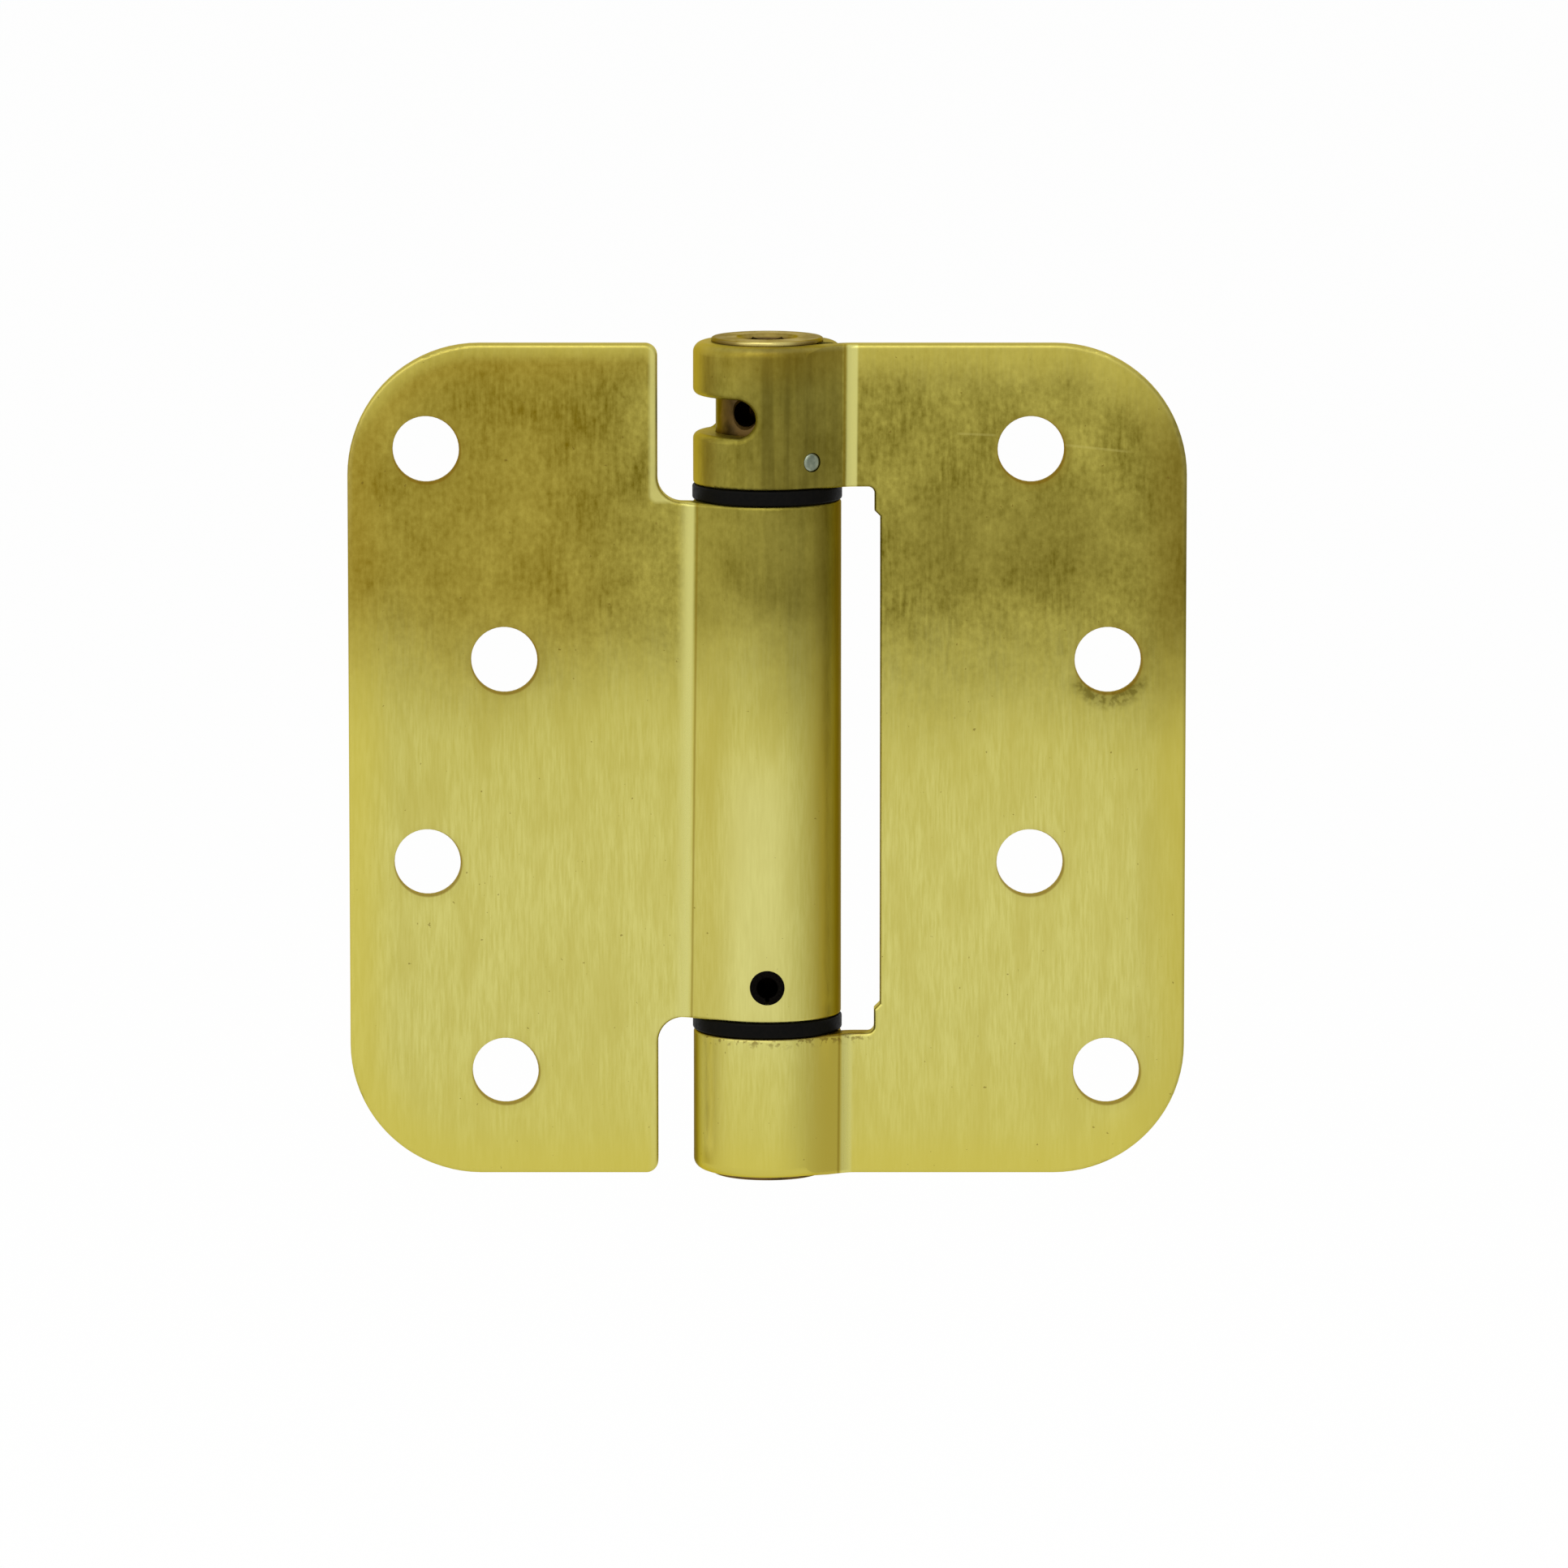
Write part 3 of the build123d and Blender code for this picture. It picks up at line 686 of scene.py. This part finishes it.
# %% Table of the coats
# In the order in which they lie: the masks that are multiplied, the strength and the colour.
COATS = [
    ("warmer tarnish", 1.0, "#9E7C08"),
    ("haze untarnished", 1.0, "#A89A2A"),
    ("border tarnish", 0.3, "#A07C10"),
    ("border untarnished", 1.0, "#CBBD4E"),
    ("foot", 1.0, "#C8BC52"),
    ("right_rim mostly_tarnish", 1.0, "#5C5014"),
    ("shadow tarnish", 0.3, "#5C5014"),
    # Painted highlight on the barrel's front.
    ("rubbed untarnished", 0.45, "#D8D48A"),
    # Painted shade on the barrel's slopes.
    ("slope mostly_clean", 1.0, "#B8A742"),
    # Two narrow painted highlights on the barrel.
    ("polished_side untarnished", 0.7, "#D2C152"),
    ("polished_foot", 1.0, "#F2E980"),
    ("spared", 1.0, "#BDA84C"),
    # Painted shade on the curl's far flanks.
    ("flank", 1.0, "#5B4722"),
    # The bright edge is a painted highlight along the top rim.
    ("edge", 1.0, "#DDD68F"),
    # Partly dirt and partly painted shade round the holes.
    ("halo mostly_tarnish", 1.0, "#8C7A2C"),
    ("smudge", 0.75, "#5E5418"),
    # Painted shade at each hole's lower edge.
    ("ring", 1.0, "#7C5E10"),
    ("specks", 1.0, "#6E5A1E"),
    # The notch rims' bright strip is a painted highlight.
    ("notch", 0.7, "#D0CA7A"),
    ("scratches", 0.22, "#C9BE6E"),
    # The crease line is painted shade, and the crease band a painted highlight.
    ("line", 0.6, "#8A7420"),
    ("bright", 0.92, "#D0CB7A"),
    # A painted shade under the bearing, and flecks of dirt.
    ("grime", 1.0, "#5E3F12"),
]
print("coats over the plate:", len(COATS))

# %% [markdown]
# A clean metal reflects almost white light where it is seen at a slant. Under lacquer it keeps
# its colour there, so the shader's tint for slanting views is a yellow too. The tarnish is a
# little duller than the clean plate, and the crease band, where a highlight is painted, is
# glossier.

# %% Build the satin brass plate
BRASS_AT_A_SLANT = "#E8D893"
TARNISH_DULLS = 0.06
CREASE_SHINES = -0.12


def satin_brass_plate():
    """Electroplated brass on steel, brushed along Z and lacquered; the eye gets soft streaks."""
    material, tree, shader, place = new_material("satin_brass_plate")
    marks = patterns(tree, place, PLATE_MARKS)
    masks = plate_masks(tree, place, marks)
    dark = tarnished_tone(tree, place, marks, masks["grip"])
    ground = add(tree, "Mix", (masks["tarnish"], clean_tone(tree, marks), dark), data_type="RGBA")
    layers = [(overlap(tree, *(masks[name] for name in names.split()), strength), code)
              for names, strength, code in COATS]
    colour = coats(tree, ground, layers)

    satin = add(tree, "MapRange", (marks["brush"], 0.25, 0.75, 0.33, 0.43), **SMOOTH)
    dulls = (masks["tarnish"], TARNISH_DULLS, satin)
    shines = (masks["bright"], CREASE_SHINES, add(tree, "Math", dulls, operation="MULTIPLY_ADD"))
    roughness = add(tree, "Math", shines, operation="MULTIPLY_ADD")
    shader.inputs["Metallic"].default_value = 1.0
    shader.inputs["Specular Tint"].default_value = linear(BRASS_AT_A_SLANT)
    finish_shader(tree, shader, colour, roughness, marks["brush"], 0.0015)
    return material


# %% [markdown]
# ## The turned plugs
#
# The adjusting plug and the bottom cap were turned on a lathe and plated with the same brass,
# but never brushed. Turning leaves rings about the axis, so their noise is read at the distance
# from the axis and the height. The head is a worn brown brass: a bright painted highlight lies
# on its rim at the front, its left and right ends are browner, and the body inside the slot is
# painted dark as the slot's shade.

# %% Sizes of the plugs' marks
RING_MARKS = {"rings": ((0.25, 0.25, 0.25), 2.0, 0.5)}
STAIN_MARKS = {"stain": ((2.6, 2.6, 2.6), 3.0, 0.6)}
HEAD_EDGE = 0.15 * MM
# Where the painted highlight on the head's rim lies.
HIGHLIGHT_WIDTH = 0.45 * MM
HIGHLIGHT_SHARES = (-0.97, -0.8)
END_SHARES = (0.5, 0.85)


# %% Masks of the plug's head
def head_masks(tree, x, y, height, radius):
    """The head, its rim's painted highlight and its brown ends, in shares of the rim's radius."""
    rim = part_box("adjusting_plug")[1].x
    levels = (half_height, half_height + HEAD_EDGE)
    head = add(tree, "MapRange", (height, *levels, 0.0, 1.0), **SMOOTH)
    highlight_ends = (rim - HIGHLIGHT_WIDTH, rim - HIGHLIGHT_WIDTH / 3)
    outer = add(tree, "MapRange", (radius, *highlight_ends, 0.0, 1.0), **SMOOTH)
    front = (share * rim for share in HIGHLIGHT_SHARES)
    facing = add(tree, "MapRange", (y, *front, 1.0, 0.12), **SMOOTH)
    reach = add(tree, "Math", (x,), operation="ABSOLUTE")
    sides = (share * rim for share in END_SHARES)
    ends = add(tree, "MapRange", (reach, *sides, 0.0, 0.7), **SMOOTH)
    return head, overlap(tree, head, facing, outer), overlap(tree, head, ends)


# %% Build the turned brass plate
def turned_brass_plate():
    """Lathe-turned brass-plated steel; rings about the axis and a body painted dark as shade."""
    material, tree, shader, place = new_material("turned_brass_plate")
    x, y, height = add(tree, "SeparateXYZ", (place,)).outputs
    radius = axis_distance(tree, place)
    turned = add(tree, "CombineXYZ", {"X": radius, "Z": height})
    rings = patterns(tree, turned, RING_MARKS)["rings"]
    stain = patterns(tree, place, STAIN_MARKS)["stain"]
    head, rubbed, ends = head_masks(tree, x, y, height, radius)

    browner = add(tree, "MapRange", (stain, 0.35, 0.65, 0.0, 1.0), **SMOOTH)
    cleaner = overlap(tree, head, add(tree, "Math", (1.0, browner), operation="SUBTRACT"))
    lines = add(tree, "MapRange", (rings, 0.3, 0.7, 0.0, 0.3), **SMOOTH)
    # The dark ground is painted shade of the slot, and the last coat a painted highlight on the
    # rim's front.
    shade = coats(tree, linear("#463820"), [
        (browner, "#6A5430"),
        (overlap(tree, head, 0.85), "#78642C"),
        (overlap(tree, cleaner, 0.7), "#A08C4C"),
        (overlap(tree, head, lines), "#A8974E"),
        (ends, "#5E4824"),
        (rubbed, "#C2B46E"),
    ])
    satin = add(tree, "MapRange", (stain, 0.3, 0.7, 0.28, 0.42), **SMOOTH)
    smoother = add(tree, "Math", (rubbed, -0.1, satin), operation="MULTIPLY_ADD")
    shader.inputs["Metallic"].default_value = 1.0
    shader.inputs["Specular Tint"].default_value = linear(BRASS_AT_A_SLANT)
    finish_shader(tree, shader, shade, smoother, rings, 0.004)
    return material


# %% [markdown]
# ## The bearings
#
# The two flanged rings are moulded nylon, black right through. Nylon is a dielectric with an IOR
# of about 1.53. Years of oil and dust have taken most of its gloss, so the specular level is
# low, and the mould leaves a faint orange-peel grain.

# %% Build the moulded black nylon
PEEL_MARKS = {"peel": ((0.5, 0.5, 0.5), 2.0, 0.5)}


def moulded_black_nylon():
    """Injection-moulded nylon; nearly black, with a soft dull sheen and a slight grain."""
    material, tree, shader, place = new_material("moulded_black_nylon")
    peel = patterns(tree, place, PEEL_MARKS)["peel"]
    paler = add(tree, "MapRange", (peel, 0.35, 0.65, 0.0, 1.0), **SMOOTH)
    shade = coats(tree, linear("#050504"), [(paler, "#090806")])
    dull = add(tree, "MapRange", (peel, 0.3, 0.7, 0.5, 0.62), **SMOOTH)
    shader.inputs["IOR"].default_value = 1.53
    shader.inputs["Specular IOR Level"].default_value = 0.05
    finish_shader(tree, shader, shade, dull, peel, 0.004)
    return material


# %% [markdown]
# ## The pins, the spring and its anchor
#
# The small retaining pin is bare ground steel, the rolled pin in the barrel is spring steel with
# a black oxide, the closing spring is drawn wire with a film of oil, and the anchor plug is
# turned steel that has sat in old oil. All four are the same kind of metal, so one function
# makes them from two colours, a roughness and a grain size.


# %% Build the steels
def steel(name, low, high, roughness, size):
    """Steel between two hex colours, with grain of the given size in millimetres.

    The paler grains are a little rougher, by up to 0.13 in all.
    """
    material, tree, shader, place = new_material(name)
    grain = patterns(tree, place, {"grain": (size, 3.0, 0.6)})["grain"]
    paler = add(tree, "MapRange", (grain, 0.3, 0.7, 0.0, 1.0), **SMOOTH)
    shade = coats(tree, linear(low), [(paler, high)])
    satin = add(tree, "MapRange", (grain, 0.3, 0.7, roughness - 0.05, roughness + 0.08), **SMOOTH)
    shader.inputs["Metallic"].default_value = 1.0
    finish_shader(tree, shader, shade, satin, grain, 0.002)
    return material


# %% Give each node its material
plate = satin_brass_plate()
plug_metal = turned_brass_plate()
nylon = moulded_black_nylon()
ground_steel = steel("ground_steel", "#727C6C", "#98A08C", 0.3, (1.2, 1.2, 1.2))
black_oxide = steel("black_oxide_steel", "#060505", "#12100D", 0.42, (0.25, 0.25, 0.25))
oiled_steel = steel("oil_darkened_steel", "#0E0B08", "#221B12", 0.5, (0.6, 0.6, 0.6))
spring_wire = steel("oiled_spring_wire", "#4E4A42", "#7C776C", 0.34, (0.4, 0.4, 1.2))

finishes = {
    "door_leaf": plate,
    "frame_leaf": plate,
    "adjusting_plug": plug_metal,
    "bottom_cap": plug_metal,
    "anchor_plug": oiled_steel,
    "upper_bearing": nylon,
    "lower_bearing": nylon,
    "plug_retaining_pin": ground_steel,
    "anchor_pin": black_oxide,
    "closing_spring": spring_wire,
}
for name, material in finishes.items():
    nodes[name].data.materials.clear()
    nodes[name].data.materials.append(material)
print("finished nodes:", len(finishes))

# %% [markdown]
# ## The closing spring
#
# The spring is left-hand wound wire with a tang at each end, one in the anchor plug and one in
# the adjusting plug. When the door swings, its foot turns with the door, and when the adjuster
# is wound, its head turns with the plug. A piece can bend across one joint only, so the wire is
# made in two lengths that meet at mid height. Their meeting rings are the same points, so no
# seam shows.
#
# The wire is a circle carried along a path. The path is worked out as whole arrays: the turn
# angle falls evenly with height, and at the end a quarter bend leads into the straight tang.

# %% Sizes of the spring
WIRE_RADIUS = 1.0 * MM
COIL_RADIUS = 3.9 * MM
COIL_PITCH = 2.3 * MM
BEND_RADIUS = 1.6 * MM
TANG_LENGTH = 6.0 * MM

spring_low, spring_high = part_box("closing_spring")
coil_low = spring_low.z + TANG_LENGTH
coil_high = spring_high.z - TANG_LENGTH
coil_middle = (coil_low + coil_high) / 2
print("coil from z %.2f to %.2f mm" % (coil_low / MM, coil_high / MM))

# %% The coil from mid height to one end
RINGS_PER_TURN = 44


def coil_path(end, way):
    """Points, outward directions and headings of the coil; way is 1 upwards and -1 downwards.

    At the height z the wire stands at the angle -2 pi (z - low) / pitch, so its heading is the
    direction round the axis tilted by the slope, whose tangent is pitch / (2 pi radius).
    """
    turns = abs(end - coil_middle) / COIL_PITCH
    z = np.linspace(coil_middle, end, int(turns * RINGS_PER_TURN))
    angle = -2 * np.pi * (z - coil_low) / COIL_PITCH
    level = np.zeros_like(z)
    out = np.stack([np.cos(angle), np.sin(angle), level], axis=1)
    round_way = np.stack([np.sin(angle), -np.cos(angle), level], axis=1) * way
    slope = math.atan2(COIL_PITCH, 2 * np.pi * COIL_RADIUS)
    points = out * COIL_RADIUS + z[:, None] * np.array([0.0, 0.0, 1.0])
    rise = np.array([0.0, 0.0, float(way)])
    return points, out, round_way * math.cos(slope) + rise * math.sin(slope)


# %% The bend and the tang
BEND_STEPS = 14
TANG_STEPS = 6


def tang_path(start, heading, tip_z, way):
    """Points and headings of the quarter bend and of the straight run to the tip.

    The bend turns the heading from the coil's slope to straight along the axis, on a circle in
    the plane of the two: centre + radius (ahead sin turn - rise cos turn).
    """
    rise = np.array([0.0, 0.0, float(way)])
    slope = math.asin(heading @ rise)
    ahead = (heading - rise * math.sin(slope)) / math.cos(slope)
    turn = np.linspace(slope, np.pi / 2, BEND_STEPS)[1:, None]
    centre = start + (rise * math.cos(slope) - ahead * math.sin(slope)) * BEND_RADIUS
    bend = centre + (ahead * np.sin(turn) - rise * np.cos(turn)) * BEND_RADIUS
    bend_heading = ahead * np.cos(turn) + rise * np.sin(turn)
    tip = np.array([bend[-1][0], bend[-1][1], tip_z])
    share = np.linspace(0, 1, TANG_STEPS)[1:, None]
    tang = bend[-1] + (tip - bend[-1]) * share
    return np.vstack([bend, tang]), np.vstack([bend_heading, np.tile(rise, (len(share), 1))])


# %% The wire round its path
SIDES = 16


def spring_half(name, end, tip_z, way):
    """A tube round one half of the path.

    At each point stands a circle: point + radius (out cos t + side sin t), where side is the
    cross product of heading and out. From the bend on, out stays as it was at the coil's end.
    Each end is closed by a flat disc.
    """
    points, outs, headings = coil_path(end, way)
    more_points, more_headings = tang_path(points[-1], headings[-1], tip_z, way)
    outs = np.vstack([outs, np.tile(outs[-1], (len(more_points), 1))])
    points = np.vstack([points, more_points])
    sides = np.cross(np.vstack([headings, more_headings]), outs)
    t = np.linspace(0, 2 * np.pi, SIDES, endpoint=False)[None, :, None]
    circles = outs[:, None, :] * np.cos(t) + sides[:, None, :] * np.sin(t)
    skin = (points[:, None, :] + circles * WIRE_RADIUS).reshape(-1, 3)

    starts = np.arange(len(points) - 1) * SIDES
    ring, spoke = np.meshgrid(starts, np.arange(SIDES), indexing="ij")
    after = (spoke + 1) % SIDES
    corners = [ring + spoke, ring + after, ring + SIDES + after, ring + SIDES + spoke]
    quads = np.stack(corners, axis=-1)
    last = (len(points) - 1) * SIDES
    discs = [list(range(SIDES))[::-1], list(range(last, last + SIDES))]
    mesh = bpy.data.meshes.new(name)
    mesh.from_pydata(skin.tolist(), [], quads.reshape(-1, 4).tolist() + discs)
    mesh.shade_smooth()
    mesh.materials.append(spring_wire)
    piece = bpy.data.objects.new(name, mesh)
    bpy.context.scene.collection.objects.link(piece)
    print(name, len(mesh.vertices), "points")
    return piece


# %% Put the two halves in
lower_half = spring_half("closing_spring_lower", coil_low, spring_low.z, -1)
upper_half = spring_half("closing_spring_upper", coil_high, spring_high.z, 1)
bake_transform(lower_half)
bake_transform(upper_half)
for half in (lower_half, upper_half):
    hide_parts("closing_spring")

# %% [markdown]
# ## Camera
#
# The photograph was taken from a little above, from far enough away that the leaves look almost
# parallel. Its elevation, distance and lens were solved from the places of the screw holes. The
# hinge sits up and to the left of the middle of the picture, so the camera is moved sideways and
# down by as much, with its direction unchanged.

# %% Place the camera
# The lens and the sensor's width are in millimetres of film, and near and far are in metres.
ELEVATION = math.radians(8.354)
DISTANCE = 1358.3 * MM
LENS = 256.0
ASIDE = 2.04 * MM
BELOW = 3.43 * MM
SENSOR = 36.0
NEAR = 0.05
FAR = 50.0

ahead = Vector((0, math.cos(ELEVATION), -math.sin(ELEVATION)))
right = Vector((1, 0, 0))
up = right.cross(ahead)
camera = bpy.data.objects.new("camera", bpy.data.cameras.new("camera"))
camera.data.lens = LENS
camera.data.sensor_width = SENSOR
camera.data.clip_start = NEAR
camera.data.clip_end = FAR
stand = -ahead * DISTANCE + right * ASIDE - up * BELOW
turn = Matrix((right, up, -ahead)).transposed().to_4x4()
camera.matrix_world = Matrix.Translation(stand) @ turn
bpy.context.scene.collection.objects.link(camera)
bpy.context.scene.camera = camera
print("camera at", [round(v, 3) for v in camera.location])

# %% [markdown]
# ## Floor and light
#
# The floor is a wide pale sheet a quarter of a metre below the middle of the hinge. Where the
# camera, a gloss ray or a transmitted ray meets it, most of it shines with strength 1, which is
# white, and the rest is its own pale colour, which keeps a shadow. The light is plain: an even
# pale sky and large soft lamps. A grey card at the right shows only in gloss. Photographers
# stand one beside round metal, because metal with nothing but white round it looks flat.


# %% A piece of the stage
def stage_piece(name, points, faces, material):
    """A mesh that belongs to the stage and not to the hinge."""
    mesh = bpy.data.meshes.new(name)
    mesh.from_pydata(points, [], faces)
    mesh.materials.append(material)
    piece = bpy.data.objects.new(name, mesh)
    bpy.context.scene.collection.objects.link(piece)
    return piece


# %% Build the floor
FLOOR_Z = -0.25
FLOOR_HALF = 12.0
SHINE = 0.9


def white_laminate():
    """Matt white laminate that shows white to the camera and in gloss, and keeps a shadow."""
    material, tree, shader, _ = new_material("white_laminate")
    shader.inputs["Base Color"].default_value = linear("#F4F4F2")
    shader.inputs["Roughness"].default_value = 0.9
    rays = add(tree, "LightPath").outputs
    seen = add(tree, "Math", (rays["Is Camera Ray"], rays["Is Glossy Ray"]), operation="MAXIMUM")
    seen = add(tree, "Math", (seen, rays["Is Transmission Ray"]), operation="MAXIMUM")
    white = add(tree, "Emission", {"Color": (1, 1, 1, 1), "Strength": 1.0})
    mix = add(tree, "MixShader", (overlap(tree, seen, SHINE), shader, white))
    add(tree, "OutputMaterial", {"Surface": mix})
    return material


signs = ((-1, -1), (1, -1), (1, 1), (-1, 1))
corners = [(x * FLOOR_HALF, y * FLOOR_HALF, FLOOR_Z) for x, y in signs]
stage_piece("floor", corners, [(0, 1, 2, 3)], white_laminate())
print("floor at", FLOOR_Z)

# %% Build the sky
SKY = 0.97

world = bpy.data.worlds.new("even_sky")
bpy.context.scene.world = world
world.use_nodes = True
world.node_tree.nodes.clear()
glow = add(world.node_tree, "Background", {"Color": (1, 1, 1, 1), "Strength": SKY})
add(world.node_tree, "OutputWorld", {"Surface": glow})

# %% Stand the grey card
CARD_RADIUS = 0.5
CARD_TOP = 0.5
CARD_COLUMNS = 48
# Degrees from straight ahead of the mounting faces, and how bright the card is there.
CARD_ANGLES = [25, 62, 90, 112, 140, 168]
CARD_SHADES = [1.0, 0.78, 0.68, 0.68, 0.85, 1.0]


def grey_card():
    """A strip of cylinder about the hinge, from the right front to the right rear.

    A point at the angle t stands at radius (sin t, -cos t), so t = 0 is straight ahead of the
    mounting faces. The shade is drawn between the listed angles and kept as an attribute.
    """
    angles = np.linspace(CARD_ANGLES[0], CARD_ANGLES[-1], CARD_COLUMNS)
    turn = np.radians(angles)
    foot = np.stack([np.sin(turn), -np.cos(turn)], axis=1) * CARD_RADIUS
    low = np.column_stack([foot, np.full(len(turn), FLOOR_Z)])
    high = np.column_stack([foot, np.full(len(turn), CARD_TOP)])
    first = np.arange(len(turn) - 1)
    faces = np.stack([first, first + 1, first + 1 + len(turn), first + len(turn)], axis=1)
    material, tree, shader, _ = new_material("grey_card")
    tree.nodes.remove(shader)
    shade = add(tree, "Attribute", attribute_name="shade").outputs["Fac"]
    add(tree, "OutputMaterial", {"Surface": add(tree, "Emission", {"Strength": shade})})
    card = stage_piece("grey_card", np.vstack([low, high]).tolist(), faces.tolist(), material)
    shades = np.tile(np.interp(angles, CARD_ANGLES, CARD_SHADES), 2)
    attribute = card.data.attributes.new("shade", "FLOAT", "POINT")
    attribute.data.foreach_set("value", shades.astype(np.float32))
    card.visible_camera = False
    card.visible_diffuse = False
    card.visible_shadow = False
    print("grey card of", len(faces), "faces")


grey_card()


# %% Hang the lamps
# Place and side in metres, and radiance.
LAMPS = {
    "left_lamp": ((-1.1, -0.9, 0.7), 1.0, 0.9),
    "front_lamp": ((0.1, -1.8, 0.9), 1.2, 0.6),
    "top_lamp": ((-0.25, -0.8, 1.3), 0.9, 2.0),
}


def lamp(name, place, size, radiance):
    """A square soft lamp that faces the hinge.

    A flat lamp of area A and radiance L sends out a power of pi times A times L.
    """
    light = bpy.data.lights.new(name, "AREA")
    light.shape = "SQUARE"
    light.size = size
    light.energy = math.pi * size * size * radiance
    piece = bpy.data.objects.new(name, light)
    aim = (-Vector(place)).to_track_quat("-Z", "Y")
    piece.matrix_world = Matrix.Translation(place) @ aim.to_matrix().to_4x4()
    bpy.context.scene.collection.objects.link(piece)
    print(name, "power %.1f W" % light.energy)


for name, (place, size, radiance) in LAMPS.items():
    lamp(name, place, size, radiance)

# %% View settings
bpy.context.scene.view_settings.view_transform = "Standard"
bpy.context.view_layer.update()
